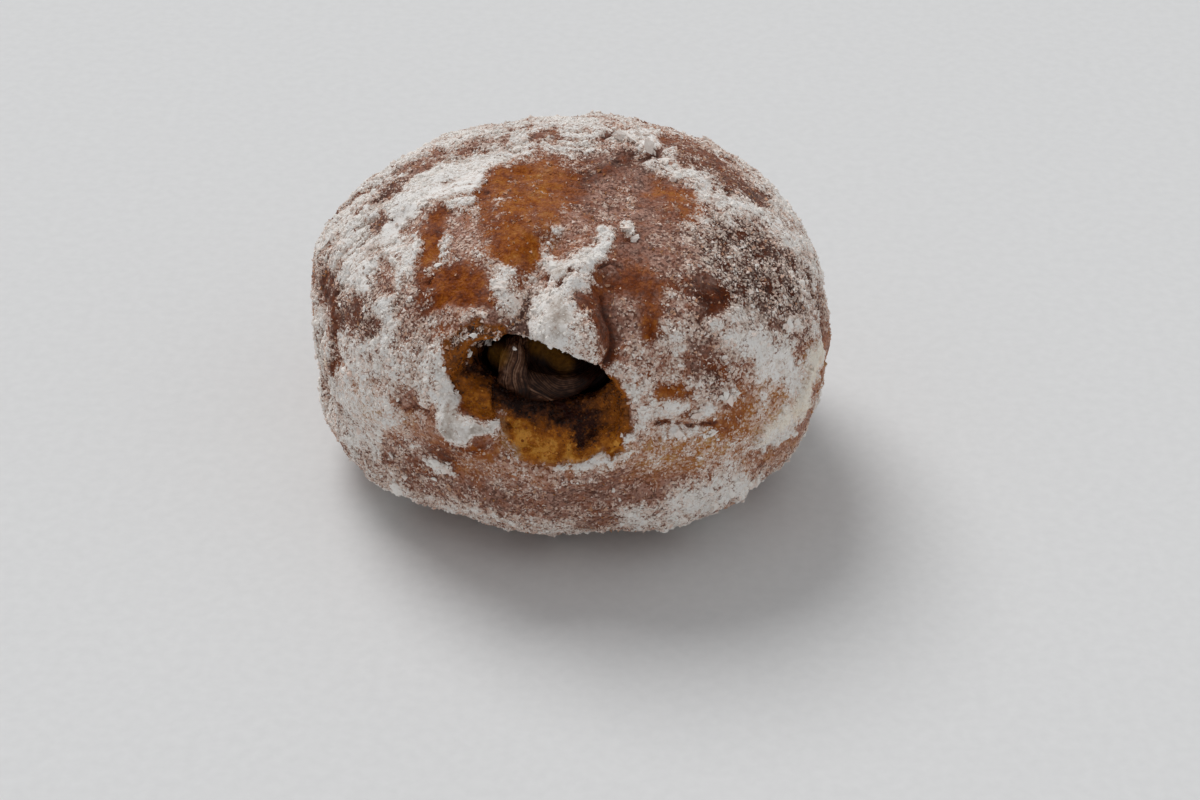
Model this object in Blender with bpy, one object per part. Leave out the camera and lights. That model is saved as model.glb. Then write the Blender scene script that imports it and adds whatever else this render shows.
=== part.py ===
"""A sugared filled doughnut with a torn mouth in its front, and the chocolate cream that shows in it.

Two solids: the fried dough, with its browned skin, folds and caked sugar as relief, and the cream, which
runs from the mouth to the middle. Lengths are in millimetres until a mesh is written. The doughnut rests on
its flattened underside, +Z is up, the mouth faces -Y, and the origin is under the middle, on the table.

Directions on the doughnut are an azimuth and a latitude in degrees, seen from the middle of its belt:
azimuth 0 is -Y, the side of the mouth, and 90 is +X. Latitude 0 is the belt and 90 is the top.
"""

import math

import bmesh
import bpy
import numpy as np
from mathutils import Matrix, Vector, noise

MM = 0.001
FULL_TURN = 2 * math.pi

# Driving dimensions
WIDTH = 90.0
DEPTH = 83.0
DOME = 31.0
BELLY = 25.2
FLAT_SHARE = 0.97
DOME_POWER = 2.5
BELLY_POWER = 3.3

# The mouth: where it faces, and its torn edge as a distance from its middle every 30 degrees, from the right
MOUTH_AZIMUTH = -7.0
MOUTH_LATITUDE = 14.5
RIM_RADII = (13.8, 11.6, 9.7, 9.8, 11.4, 14.2, 14.4, 7.4, 9.1, 11.0, 11.5, 13.8)
SURFACE_AT_MOUTH = 40.0

# The lip round it: how far its edge is rounded off, and the swelling beside the edge, fullest below
EDGE_ROUNDING = 0.9
EDGE_REACH = 0.9
LIP_POUT = 0.7
LIP_POUT_AT = 2.6
LIP_POUT_WIDTH = 1.8
LIP_POUT_TO_BELOW = 0.8

# The slit at the bottom of the mouth, an ellipse in the mouth's own plane, and the torn slope down to it
SLIT_MIDDLE = (-0.3, 4.3)
SLIT_HALF_WIDTH = 11.3
SLIT_HALF_HEIGHT = 5.2
SLIT_TURN = math.radians(-7.0)
SLIT_LEVEL = 33.2
SLOPE_INWARD = 1.25
SLOPE_DOWN = 0.8
UNDERCUT = 1.6
TORN_ROUGHNESS = 1.1
TORN_GRAIN = 2.4

# The pocket behind the slit, part of an ellipsoid, and the gap between its wall and the cream
POCKET_MIDDLE = (0.0, 1.5, 7.0)
POCKET_HALF_SIZES = (17.0, 9.0, 24.0)
POCKET_STARTS_AT = math.radians(38.0)
GAP = 0.5

# Mesh fineness
ROUND_STEPS = 88
SKIN_RINGS = 44
SKIN_CROWDING = 1.3
SLOPE_RINGS = 7
POCKET_RINGS = 5
CREAM_STEPS = 42
CREAM_FRONT_RINGS = 7
RIBBON_SIDES = 12

# Broad swellings and flats: azimuth, latitude, radius of the patch, height
SWELLINGS = {
    "left shoulder": (-101, 17, 13.0, 1.5),
    "left flank, pressed flat": (-84, -8, 11.0, -1.4),
    "left foot": (-71, -27, 10.0, 1.3),
    "upper left, drawn in": (-106, 27, 8.0, -1.3),
    "crown at the left, drawn in": (-133, 34, 10.0, -1.2),
    "crown, swollen": (174, 42, 9.0, 0.5),
    "crown at the right, drawn in": (146, 35, 8.0, -0.8),
    "right shoulder, pressed flat": (102, 18, 14.0, -1.3),
    "right belly, pressed flat": (81, 1, 9.0, -0.7),
    "right foot, drawn in": (74, -17, 8.0, -0.8),
    "front foot at the right, drawn in": (12, -27, 6.5, -1.3),
    "front foot at the left, drawn in": (-34, -27, 10.0, -1.3),
    "left cheek": (-40, 48, 9.0, 1.0),
    "brow over the mouth": (0, 30, 4.6, 1.9),
    "left brow": (-26, 31, 4.5, 0.9),
    "right cheek": (36, 36, 10.0, 0.9),
    "hollow right of the mouth": (19, 18, 4.5, -0.7),
    "tongue of crust in the mouth": (-24, 6, 4.0, 1.2),
    "chin": (-3, -8, 8.0, 0.8),
    "back, pressed flat": (170, 5, 14.0, -1.1),
    "back left knuckle": (-145, 24, 9.0, 1.0),
    "back right knuckle": (138, 30, 10.0, 0.9),
    "thumb mark at the back": (-168, 38, 6.0, -1.2),
    "top, sunk a little": (60, 82, 11.0, -0.9),
}

# The pale belt, where the fat reached while the doughnut floated: a proud edge over a groove, strongest
# at one azimuth
RIDGE_AT = 1.4
RIDGE_WIDTH = 2.8
RIDGE_HEIGHT = 1.2
GROOVE_AT = -5.2
GROOVE_WIDTH = 2.4
GROOVE_DEPTH = 1.5
BELT_AZIMUTH = 65.0
BELT_SPREAD = 30.0
BELT_ELSEWHERE = 0.5

# Folds and creases: the directions that they pass through, half width, depth
FOLDS = {
    "valley over the mouth": (((-9, 54), (-11, 43), (-13, 33), (-13, 25)), 2.2, 2.4),
    "crease beside the brow": (((10, 42), (12, 31), (9, 22)), 1.3, 1.6),
    "crease under the right cheek": (((17, 11), (27, 9), (38, 11)), 1.6, 1.0),
    "front pleat on the left": (((-69, 21), (-64, 11), (-60, 0)), 1.5, 1.7),
    "rear pleat on the left": (((-79, 18), (-72, 5), (-68, -10)), 1.6, 1.6),
    "crease on the right": (((74, 26), (77, 16), (74, 6), (76, -2)), 1.5, 1.5),
    "first wrinkle of the shoulder": (((-58, 30), (-69, 41), (-83, 52), (-122, 66)), 1.7, 1.3),
    "second wrinkle of the shoulder": (((-71, 23), (-82, 34), (-93, 45), (-115, 58)), 1.6, 1.3),
    "third wrinkle of the shoulder": (((-88, 24), (-100, 35), (-118, 46)), 1.6, 1.1),
    "wrinkle at the back left": (((-126, 12), (-146, 15), (-166, 10)), 1.7, 1.3),
    "wrinkle at the back right": (((114, 22), (134, 16), (154, 18)), 1.7, 1.2),
    "pleat at the back right": (((112, -6), (118, 6), (116, 16)), 1.6, 1.2),
    "pleat behind": (((176, 28), (179, 14), (173, -4)), 1.7, 1.4),
}
BANK_HEIGHT = 0.45
BANK_WIDTH = 2.2

# Lumps of dough and of sugar: size and height
LUMPS = ((17.0, 1.1), (6.5, 0.5), (3.4, 0.45))

# Sugar that has caked: azimuth, latitude, half length, half width, turn in degrees, thickness
SUGAR_CAKES = {
    "brow": (0, 30, 5.6, 5.2, 0, 0.8),
    "left of the mouth": (-25, 5, 5.5, 3.2, 0, 0.8),
    "right cheek, low": (48, 11, 11.0, 7.5, 10, 0.6),
    "along the belt on the right": (58, -1, 12.0, 3.0, 12, 0.8),
    "shoulder streak": (-75, 44, 12.0, 2.6, 50, 0.8),
    "left flank": (-52, 2, 8.0, 9.0, 0, 0.6),
    "crown": (150, 62, 16.0, 8.0, 20, 0.7),
    "foot on the right": (30, -24, 14.0, 4.0, 8, 0.8),
    "foot on the left": (-45, -24, 12.0, 4.0, -10, 0.7),
    "back": (175, 32, 15.0, 6.0, -12, 0.8),
    "back left": (-125, -4, 11.0, 5.5, 15, 0.8),
    "back right": (128, -12, 12.0, 5.0, -10, 0.7),
}
CAKE_STEEPNESS = 4.0

# Crumbs and flakes of sugar: azimuth, latitude, spread across and up in degrees, how many, mean radius
CRUMB_FIELDS = {
    "foot on the right": (34, -22, 15, 3, 8, 1.3),
    "foot on the left": (-48, -23, 10, 3, 6, 1.3),
    "crown": (115, 67, 20, 4, 6, 2.0),
    "beside the hollow": (31, 12, 7, 4, 4, 1.3),
    "right edge of the mouth": (13, 16, 3, 4, 2, 1.1),
    "back": (165, 20, 30, 18, 7, 1.5),
}
CRUMB_SIZES = (0.7, 1.35)
CRUMB_JAGGEDNESS = 0.2
CRUMB_FLATNESS = 0.55
CRUMB_SUNK = 0.2
CRUMB_SEED = 11

# The cream's front: how far behind the slit it meets the dough, as a share of the way to the pocket, and its
# swellings as x and y in the mouth's plane, reach across and up, height
CREAM_SHARE = 0.5
CREAM_SWELLINGS = (
    (-4.5, 4.6, 2.0, 2.5, 4.6),
    (3.5, 3.0, 3.5, 1.6, 3.0),
    (-9.0, 4.6, 1.4, 1.1, 0.8),
)
# The ribbon that hangs from the upper lip and sweeps to the right: x, y, level, half width, half thickness
RIBBON = (
    (-4.4, 6.6, 30.6, 1.5, 1.0),
    (-4.4, 8.0, 33.6, 1.7, 1.1),
    (-4.5, 7.4, 35.6, 1.9, 1.2),
    (-4.9, 5.6, 36.1, 2.2, 1.3),
    (-4.9, 3.8, 36.1, 2.5, 1.4),
    (-4.3, 2.0, 36.0, 2.6, 1.4),
    (-2.6, 0.9, 35.8, 2.6, 1.3),
    (-0.2, 0.7, 35.6, 2.5, 1.2),
    (2.4, 0.8, 35.2, 2.2, 1.2),
    (5.0, 1.3, 34.6, 1.8, 1.1),
    (7.2, 2.3, 33.4, 1.3, 1.0),
    (8.4, 3.6, 31.4, 1.0, 0.9),
    (8.6, 4.2, 29.4, 0.9, 0.9),
)
RIBBON_TIP = 0.4

# Finishes: linear colour and roughness
CRUST_COLOUR = (0.42, 0.20, 0.075, 1.0)
CRUST_ROUGHNESS = 0.6
CREAM_COLOUR = (0.055, 0.022, 0.012, 1.0)
CREAM_ROUGHNESS = 0.3


def unit(azimuth, latitude):
    """The unit direction of an azimuth and a latitude."""
    a = math.radians(azimuth)
    b = math.radians(latitude)
    return np.array([math.sin(a) * math.cos(b), -math.cos(a) * math.cos(b), math.sin(b)])


MOUTH_OUT = unit(MOUTH_AZIMUTH, MOUTH_LATITUDE)
MOUTH_RIGHT = unit(MOUTH_AZIMUTH + 90, 0)
MOUTH_UP = np.cross(MOUTH_OUT, MOUTH_RIGHT)


def bell(distance):
    """1 at a middle, fading to nothing."""
    return np.exp(-(distance**2) / 2)


def plain_radius(directions):
    """How far the smooth bun reaches along each direction: a round dome over a squarer belly."""
    up = directions[:, 2]
    height = np.where(up > 0, DOME, BELLY)
    power = np.where(up > 0, DOME_POWER, BELLY_POWER)
    level = np.hypot(directions[:, 0] / (WIDTH / 2), directions[:, 1] / (DEPTH / 2))
    return (level**power + np.abs(up / height) ** power) ** (-1 / power)


def on_bun(azimuth, latitude):
    """The point of the smooth bun in a direction."""
    direction = unit(azimuth, latitude)
    return direction * plain_radius(direction[None])[0]


def distance_to_line(points, route):
    """Each point's distance to a line through the points of route."""
    best = np.full(len(points), np.inf)
    for start, end in zip(route, route[1:]):
        span = end - start
        share = np.clip((points - start) @ span / (span @ span), 0, 1)
        best = np.minimum(best, np.linalg.norm(points - start - share[:, None] * span, axis=1))
    return best


def swellings(points):
    """Height that the broad swellings and flats add."""
    height = np.zeros(len(points))
    for azimuth, latitude, radius, rise in SWELLINGS.values():
        height += rise * bell(np.linalg.norm(points - on_bun(azimuth, latitude), axis=1) / radius)
    return height


def folds(points):
    """Height that the folds take away. Each has a low bank on both sides, as pushed dough has."""
    height = np.zeros(len(points))
    for route, half_width, depth in FOLDS.values():
        across = distance_to_line(points, [on_bun(*place) for place in route]) / half_width
        height += depth * (BANK_HEIGHT * bell(across / BANK_WIDTH) - (1 + BANK_HEIGHT) * bell(across))
    return height


def belt(points):
    """The pale belt's proud edge and the groove under it."""
    azimuth = np.degrees(np.arctan2(points[:, 0], -points[:, 1]))
    strength = BELT_ELSEWHERE + (1 - BELT_ELSEWHERE) * bell((azimuth - BELT_AZIMUTH) / BELT_SPREAD)
    ridge = RIDGE_HEIGHT * bell((points[:, 2] - RIDGE_AT) / RIDGE_WIDTH)
    groove = GROOVE_DEPTH * bell((points[:, 2] - GROOVE_AT) / GROOVE_WIDTH)
    return strength * (ridge - groove)


def sugar_cakes(points):
    """Height of the caked sugar: flat patches with steep edges."""
    height = np.zeros(len(points))
    for azimuth, latitude, half_length, half_width, turn, thickness in SUGAR_CAKES.values():
        out = unit(azimuth, latitude)
        east = unit(azimuth + 90, 0)
        north = np.cross(out, east)
        from_middle = points - on_bun(azimuth, latitude)
        a = math.radians(turn)
        along = from_middle @ (math.cos(a) * east + math.sin(a) * north) / half_length
        across = from_middle @ (math.cos(a) * north - math.sin(a) * east) / half_width
        patch = 0.5 - 0.5 * np.tanh((along**2 + across**2 - 1) * CAKE_STEEPNESS)
        height += thickness * patch * (points @ out > 0)
    return height


def lumps(points):
    """Slow lumps of dough, and the smaller ones of the sugar on it."""
    height = np.zeros(len(points))
    for size, rise in LUMPS:
        height += rise * np.array([noise.noise(Vector(point) / size) for point in points])
    return height


def skin(directions):
    """The doughnut's outer skin in each direction, cut flat where it rests."""
    points = directions * plain_radius(directions)[:, None]
    rise = swellings(points) + folds(points) + belt(points) + sugar_cakes(points) + lumps(points)
    points += directions * rise[:, None]
    points[:, 2] = np.maximum(points[:, 2], -BELLY * FLAT_SHARE)
    return points


def in_mouth(x, y, level):
    """Points given in the mouth's own axes: right, up, and out from the doughnut's middle."""
    x, y, level = np.broadcast_arrays(x, y, level)
    return x[:, None] * MOUTH_RIGHT + y[:, None] * MOUTH_UP + level[:, None] * MOUTH_OUT


def rim_radius(angles):
    """The torn edge's distance from the mouth's middle, eased between the values of RIM_RADII."""
    place = angles / FULL_TURN * len(RIM_RADII)
    first = place.astype(int)
    share = place - first
    here = np.take(RIM_RADII, first, mode="wrap")
    after = np.take(RIM_RADII, first + 1, mode="wrap")
    return here + (after - here) * share**2 * (3 - 2 * share)


def slit(angles, shrink=0.0):
    """The slit's edge in the mouth's plane."""
    along = (SLIT_HALF_WIDTH - shrink) * np.cos(angles)
    across = (SLIT_HALF_HEIGHT - shrink) * np.sin(angles)
    x = SLIT_MIDDLE[0] + along * math.cos(SLIT_TURN) - across * math.sin(SLIT_TURN)
    y = SLIT_MIDDLE[1] + along * math.sin(SLIT_TURN) + across * math.cos(SLIT_TURN)
    return x, y


def skin_rings(angles):
    """Rings of the outer skin, from the point at the back to the mouth's edge."""
    edge = np.arctan(rim_radius(angles) / SURFACE_AT_MOUTH)
    around = np.cos(angles)[:, None] * MOUTH_RIGHT + np.sin(angles)[:, None] * MOUTH_UP
    rings = []
    for k in range(SKIN_RINGS - 1, -1, -1):
        away = edge + (math.pi - edge) * (k / SKIN_RINGS) ** SKIN_CROWDING
        directions = np.cos(away)[:, None] * MOUTH_OUT + np.sin(away)[:, None] * around
        from_edge = (away - edge) * SURFACE_AT_MOUTH
        pout = LIP_POUT * bell((from_edge - LIP_POUT_AT) / LIP_POUT_WIDTH)
        pout *= 1 - LIP_POUT_TO_BELOW * np.sin(angles)
        rounding = EDGE_ROUNDING * np.exp(-from_edge / EDGE_REACH)
        rings.append(skin(directions) + directions * (pout - rounding)[:, None])
    return rings


def slope_rings(angles, edge_ring):
    """Rings of torn dough from the mouth's edge down to the slit: a slope below, an undercut wall above."""
    x0 = edge_ring @ MOUTH_RIGHT
    y0 = edge_ring @ MOUTH_UP
    level0 = edge_ring @ MOUTH_OUT
    x1, y1 = slit(angles)
    upper = np.clip(np.sin(angles), 0, 1)
    rings = []
    for k in range(1, SLOPE_RINGS + 1):
        share = k / SLOPE_RINGS
        inward = share**SLOPE_INWARD
        x = x0 + (x1 - x0) * inward
        y = y0 + (y1 - y0) * inward + UNDERCUT * math.sin(math.pi * share) * upper
        ring = in_mouth(x, y, level0 + (SLIT_LEVEL - level0) * share**SLOPE_DOWN)
        if k < SLOPE_RINGS:
            torn = [noise.noise_vector(Vector(point) / TORN_GRAIN) for point in ring]
            ring += TORN_ROUGHNESS * np.array(torn)
        rings.append(ring)
    return rings


def pocket_rings(angles, shrink=0.0):
    """Rings of the pocket behind the slit, front to back, ending before its far point."""
    half_width, half_height, half_length = (size - shrink for size in POCKET_HALF_SIZES)
    rings = []
    for k in range(POCKET_RINGS):
        turn = POCKET_STARTS_AT + (math.pi - POCKET_STARTS_AT) * k / POCKET_RINGS
        x = POCKET_MIDDLE[0] + half_width * math.sin(turn) * np.cos(angles)
        y = POCKET_MIDDLE[1] + half_height * math.sin(turn) * np.sin(angles)
        rings.append(in_mouth(x, y, POCKET_MIDDLE[2] + half_length * math.cos(turn)))
    return rings


def pocket_end(shrink=0.0):
    """The pocket's far point."""
    x, y, level = POCKET_MIDDLE
    return x * MOUTH_RIGHT + y * MOUTH_UP + (level - POCKET_HALF_SIZES[2] + shrink) * MOUTH_OUT


def finish(name, colour, roughness):
    """A plain Principled material."""
    material = bpy.data.materials.new(name)
    material.use_nodes = True
    shader = material.node_tree.nodes["Principled BSDF"]
    shader.inputs["Base Color"].default_value = colour
    shader.inputs["Roughness"].default_value = roughness
    shader.inputs["Metallic"].default_value = 0.0
    return material


def object_of(name, points, faces, material):
    """A named object of triangles. Its points are in millimetres from the middle of the belt."""
    mesh = bpy.data.meshes.new(name)
    lifted = np.asarray(points) + (0, 0, BELLY * FLAT_SHARE)
    mesh.from_pydata((lifted * MM).tolist(), [], faces)
    built = bmesh.new()
    built.from_mesh(mesh)
    bmesh.ops.triangulate(built, faces=built.faces)
    bmesh.ops.recalc_face_normals(built, faces=built.faces)
    built.to_mesh(mesh)
    built.free()
    mesh.materials.append(material)
    mesh.shade_smooth()
    made = bpy.data.objects.new(name, mesh)
    bpy.context.scene.collection.objects.link(made)
    return made


def closed_tube(first_point, rings, last_point):
    """Points and faces of a closed skin through the rings, with a point at each end."""
    count = len(rings[0])
    points = np.vstack([first_point[None], *rings, last_point[None]])
    last = len(points) - 1
    faces = []
    for k in range(count):
        after = (k + 1) % count
        faces.append((0, 1 + after, 1 + k))
        faces.append((last, last - count + k, last - count + after))
        for near in range(1, last - count, count):
            faces.append((near + k, near + after, near + count + after, near + count + k))
    return points, faces


def make_dough(material):
    """The fried dough: skin, torn slope and pocket in one closed surface."""
    angles = np.arange(ROUND_STEPS) * FULL_TURN / ROUND_STEPS
    outer = skin_rings(angles)
    rings = outer + slope_rings(angles, outer[-1]) + pocket_rings(angles)
    back = skin(-MOUTH_OUT[None])[0]
    return object_of("dough", *closed_tube(back, rings, pocket_end()), material)


def cream_rise(points):
    """How far the cream's front stands out at each point, beyond where it meets the dough."""
    x = points @ MOUTH_RIGHT
    y = points @ MOUTH_UP
    rise = np.zeros(len(points))
    for x0, y0, across, up, height in CREAM_SWELLINGS:
        rise += height * bell(np.hypot((x - x0) / across, (y - y0) / up))
    return rise


def cream_front(angles, pocket_edge):
    """The middle and the rings of the cream's front, out to the wall between the slit and the pocket."""
    slit_edge = in_mouth(*slit(angles, GAP), SLIT_LEVEL)
    edge = slit_edge + (pocket_edge - slit_edge) * CREAM_SHARE
    middle = edge.mean(0)
    rings = []
    for k in range(1, CREAM_FRONT_RINGS + 1):
        share = k / CREAM_FRONT_RINGS
        flat = middle + (edge - middle) * share
        rings.append(flat + (cream_rise(flat) * (1 - share**4))[:, None] * MOUTH_OUT)
    return middle + cream_rise(middle[None])[0] * MOUTH_OUT, rings


def ribbon():
    """The ribbon as flattened rings square to its route, with a point at both ends."""
    across, up, level, half_widths, half_thicknesses = np.array(RIBBON).T
    route = in_mouth(across, up, level)
    turns = np.arange(RIBBON_SIDES) * FULL_TURN / RIBBON_SIDES
    rings = []
    for k, middle in enumerate(route):
        ahead = route[min(k + 1, len(route) - 1)] - route[max(k - 1, 0)]
        ahead /= np.linalg.norm(ahead)
        side = np.cross(ahead, MOUTH_OUT)
        side /= np.linalg.norm(side)
        face = np.cross(side, ahead)
        flat = np.cos(turns)[:, None] * side * half_widths[k]
        rings.append(middle + flat + np.sin(turns)[:, None] * face * half_thicknesses[k])
    start = route[0] + (route[0] - route[1]) * RIBBON_TIP
    end = route[-1] + (route[-1] - route[-2]) * RIBBON_TIP
    return closed_tube(start, rings, end)


def fuse(target, others, solver):
    """Fuses the other objects into target by one Boolean union, then removes them."""
    group = bpy.data.collections.new("fused into " + target.name)
    for other in others:
        group.objects.link(other)
    union = target.modifiers.new("union", "BOOLEAN")
    union.operation = "UNION"
    union.operand_type = "COLLECTION"
    union.collection = group
    union.solver = solver
    bpy.context.view_layer.update()
    graph = bpy.context.evaluated_depsgraph_get()
    fused = bpy.data.meshes.new_from_object(target.evaluated_get(graph))
    target.modifiers.clear()
    target.data = fused
    for other in others:
        bpy.data.objects.remove(other)
    bpy.data.collections.remove(group)


def make_cream(material):
    """The cream: a core in the pocket, its front in the slit, and the ribbon fused to it."""
    angles = np.arange(CREAM_STEPS) * FULL_TURN / CREAM_STEPS
    core = pocket_rings(angles, GAP)
    middle, front = cream_front(angles, core[0])
    cream = object_of("filling", *closed_tube(middle, front + core, pocket_end(GAP)), material)
    hanging = object_of("ribbon", *ribbon(), material)
    fuse(cream, [hanging], "EXACT")
    return cream


def sugar_crumb(draw, out, radius, surface, material):
    """One flattened crumb, more than half sunk in the skin."""
    built = bmesh.new()
    bmesh.ops.create_icosphere(built, subdivisions=1, radius=radius)
    for vertex in built.verts:
        vertex.co *= draw.uniform(1 - CRUMB_JAGGEDNESS, 1 + CRUMB_JAGGEDNESS)
        vertex.co.z *= CRUMB_FLATNESS
    upright = Vector(out).to_track_quat("Z", "Y").to_matrix().to_4x4()
    spun = Matrix.Rotation(draw.uniform(0, FULL_TURN), 4, "Z")
    sunk = Matrix.Translation(surface - out * radius * CRUMB_SUNK)
    bmesh.ops.transform(built, matrix=sunk @ upright @ spun, verts=built.verts)
    points = [tuple(vertex.co) for vertex in built.verts]
    faces = [tuple(vertex.index for vertex in face.verts) for face in built.faces]
    built.free()
    return object_of("crumb", points, faces, material)


def make_crumbs(material):
    """Crumbs and flakes of caked sugar, spread by each field's rule."""
    draw = np.random.default_rng(CRUMB_SEED)
    crumbs = []
    for azimuth, latitude, across, up, count, mean_radius in CRUMB_FIELDS.values():
        step = 2 * across / count
        for k in range(count):
            a = azimuth - across + step * (k + draw.uniform())
            b = latitude + up * draw.uniform(-1, 1)
            out = unit(a, b)
            radius = mean_radius * draw.uniform(*CRUMB_SIZES)
            crumbs.append(sugar_crumb(draw, out, radius, skin(out[None])[0], material))
    return crumbs


def settle(objects):
    """Moves everything so that the middle of the whole is over the origin, on the table."""
    corners = np.array([vertex.co for made in objects for vertex in made.data.vertices])
    low = corners.min(0)
    high = corners.max(0)
    to_origin = Matrix.Translation((-(low[0] + high[0]) / 2, -(low[1] + high[1]) / 2, -low[2]))
    for made in objects:
        made.data.transform(to_origin)


def main():
    for leftover in list(bpy.data.objects):
        bpy.data.objects.remove(leftover)
    crust = finish("browned crust", CRUST_COLOUR, CRUST_ROUGHNESS)
    dough = make_dough(crust)
    fuse(dough, make_crumbs(crust), "MANIFOLD")
    cream = make_cream(finish("chocolate cream", CREAM_COLOUR, CREAM_ROUGHNESS))
    settle([dough, cream])


main()
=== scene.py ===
# %% [markdown]
# A filled doughnut under powdered sugar, torn open at the front. This lesson dresses two plain solids, the
# dough and its chocolate cream, as the real thing looks: a browned crust that shows where sugar is rubbed
# off, sugar that lies as a thin film, as specks and as thick cakes, torn crumb in the mouth, and a glossy
# ribbon of cream. The frame gives the solids at their real size, so nothing here is moved or resized.

# %% Load the frame
import math

import bpy
import numpy as np
from mathutils import Matrix, Vector, noise


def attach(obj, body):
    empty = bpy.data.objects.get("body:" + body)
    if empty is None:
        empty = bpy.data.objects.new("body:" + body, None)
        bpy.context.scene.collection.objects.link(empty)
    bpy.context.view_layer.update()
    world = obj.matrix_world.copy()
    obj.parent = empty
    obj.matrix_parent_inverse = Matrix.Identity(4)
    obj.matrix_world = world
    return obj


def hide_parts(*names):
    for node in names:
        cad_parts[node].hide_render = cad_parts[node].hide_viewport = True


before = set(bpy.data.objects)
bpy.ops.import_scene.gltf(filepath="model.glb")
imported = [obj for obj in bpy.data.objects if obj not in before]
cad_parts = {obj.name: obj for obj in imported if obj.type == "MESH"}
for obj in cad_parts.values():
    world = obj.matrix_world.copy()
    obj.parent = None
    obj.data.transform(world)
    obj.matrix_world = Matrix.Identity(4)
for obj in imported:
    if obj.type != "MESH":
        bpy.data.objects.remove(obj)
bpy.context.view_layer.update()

MM = 0.001

# %% [markdown]
# The camera comes first, because the sugar's patches are painted as the eye sees them from it. It looks down
# at the doughnut by a little over a third of a right angle and leans slightly, as a camera held by hand
# does. A long lens from 44 centimetres keeps the round form from bulging towards the viewer.

# %% The camera
PICTURE_WIDTH = 1200
PICTURE_HEIGHT = 800
ELEVATION = math.radians(34.5)
LEAN = math.radians(1.5)
LENS = 76.0
SENSOR = 36.0
DISTANCE = 440.25 * MM
BELT_MIDDLE = np.array((0.518, 0.903, 24.444))
AIM_RIGHT = 5.1
AIM_DOWN = 13.1
NEAREST_SHOWN = 10 * MM

back = Vector((0, -math.cos(ELEVATION), math.sin(ELEVATION)))
right = Vector((1, 0, 0))
up = back.cross(right)
aim = (Vector(BELT_MIDDLE) + right * AIM_RIGHT - up * AIM_DOWN) * MM
leaned_right = math.cos(LEAN) * right + math.sin(LEAN) * up
leaned_up = math.cos(LEAN) * up - math.sin(LEAN) * right
turn = Matrix((leaned_right, leaned_up, back)).transposed()

camera_data = bpy.data.cameras.new("camera")
camera_data.lens = LENS
camera_data.sensor_width = SENSOR
camera_data.clip_start = NEAREST_SHOWN
camera = bpy.data.objects.new("camera", camera_data)
bpy.context.scene.collection.objects.link(camera)
camera.matrix_world = Matrix.Translation(aim + back * DISTANCE) @ turn.to_4x4()
bpy.context.scene.camera = camera
print("camera at", [round(value, 3) for value in camera.matrix_world.translation])

# %% [markdown]
# Every patch of sugar is named and given by places in the picture, so two helpers are needed: one that says
# where in the picture a point of the surface shows, and one for noise. Noise whose lumps have a size in
# millimetres stands for what nature leaves uneven: how sugar falls, how a crust blisters, how crumb tears.

# %% Helpers for places, noise and soft edges
CAMERA_PLACE = np.array(camera.matrix_world.translation) / MM
CAMERA_TURN = np.array(turn)
PIXELS_PER_UNIT = LENS / SENSOR * PICTURE_WIDTH
NOISE_STEP = 13.7


def in_picture(points):
    """Where points, in millimetres, show in the picture, in its pixels."""
    seen = (points - CAMERA_PLACE) @ CAMERA_TURN
    across = PICTURE_WIDTH / 2 - seen[:, 0] / seen[:, 2] * PIXELS_PER_UNIT
    down = PICTURE_HEIGHT / 2 + seen[:, 1] / seen[:, 2] * PIXELS_PER_UNIT
    return np.column_stack((across, down))


def lumps(points, size, seed=0):
    """Smooth noise, about -1 to 1, with lumps of this size in millimetres."""
    return np.array([noise.noise(place) for place in (points / size + seed * NOISE_STEP).tolist()])


def ease(values, low, high):
    """0 below low, 1 above high, and a soft step between them."""
    share = np.clip((values - low) / (high - low), 0, 1)
    return share * share * (3 - 2 * share)


def bell(distance):
    """1 at a middle, fading to nothing."""
    return np.exp(-(distance**2) / 2)


print("the belt's middle shows at", in_picture(BELT_MIDDLE[None])[0].round().tolist(), "in the picture")

# %% [markdown]
# The crust starts as a copy of the solid dough. Its triangles are merged into one skin, rounded by one
# subdivision, remeshed with even voxels and smoothed once, because fine relief needs faces of one small size
# everywhere. Half a millimetre is fine enough for the edge of a sugar cake and keeps the count in bounds.

# %% The crust's mesh
MERGE = 0.01 * MM
VOXEL = 0.5 * MM
VOXEL_SMOOTHING = 0.5


def only(piece):
    """Selects one piece and makes it the active one."""
    bpy.ops.object.select_all(action="DESELECT")
    piece.select_set(True)
    bpy.context.view_layer.objects.active = piece


def copy_of_solid(node, name):
    """A new piece with its own copy of a solid's mesh, merged into one skin."""
    piece = bpy.data.objects.new(name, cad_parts[node].data.copy())
    piece.data.name = name
    piece.data.materials.clear()
    bpy.context.scene.collection.objects.link(piece)
    only(piece)
    bpy.ops.object.mode_set(mode="EDIT")
    bpy.ops.mesh.select_all(action="SELECT")
    bpy.ops.mesh.remove_doubles(threshold=MERGE)
    bpy.ops.object.mode_set(mode="OBJECT")
    return piece


def apply_modifier(piece, kind, **settings):
    """Adds one modifier with its settings and applies it."""
    modifier = piece.modifiers.new(kind, kind)
    for setting, value in settings.items():
        setattr(modifier, setting, value)
    only(piece)
    bpy.ops.object.modifier_apply(modifier=modifier.name)


def vertex_values(piece, what):
    """The places or normals of a piece's vertices as an array of rows."""
    values = np.zeros(len(piece.data.vertices) * 3, np.float32)
    source = piece.data.vertices if what == "co" else piece.data.vertex_normals
    source.foreach_get("co" if what == "co" else "vector", values)
    return values.reshape(-1, 3).astype(float)


def triangle_count(piece):
    """How many triangles the faces of a piece make."""
    return sum(len(face.vertices) - 2 for face in piece.data.polygons)


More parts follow.
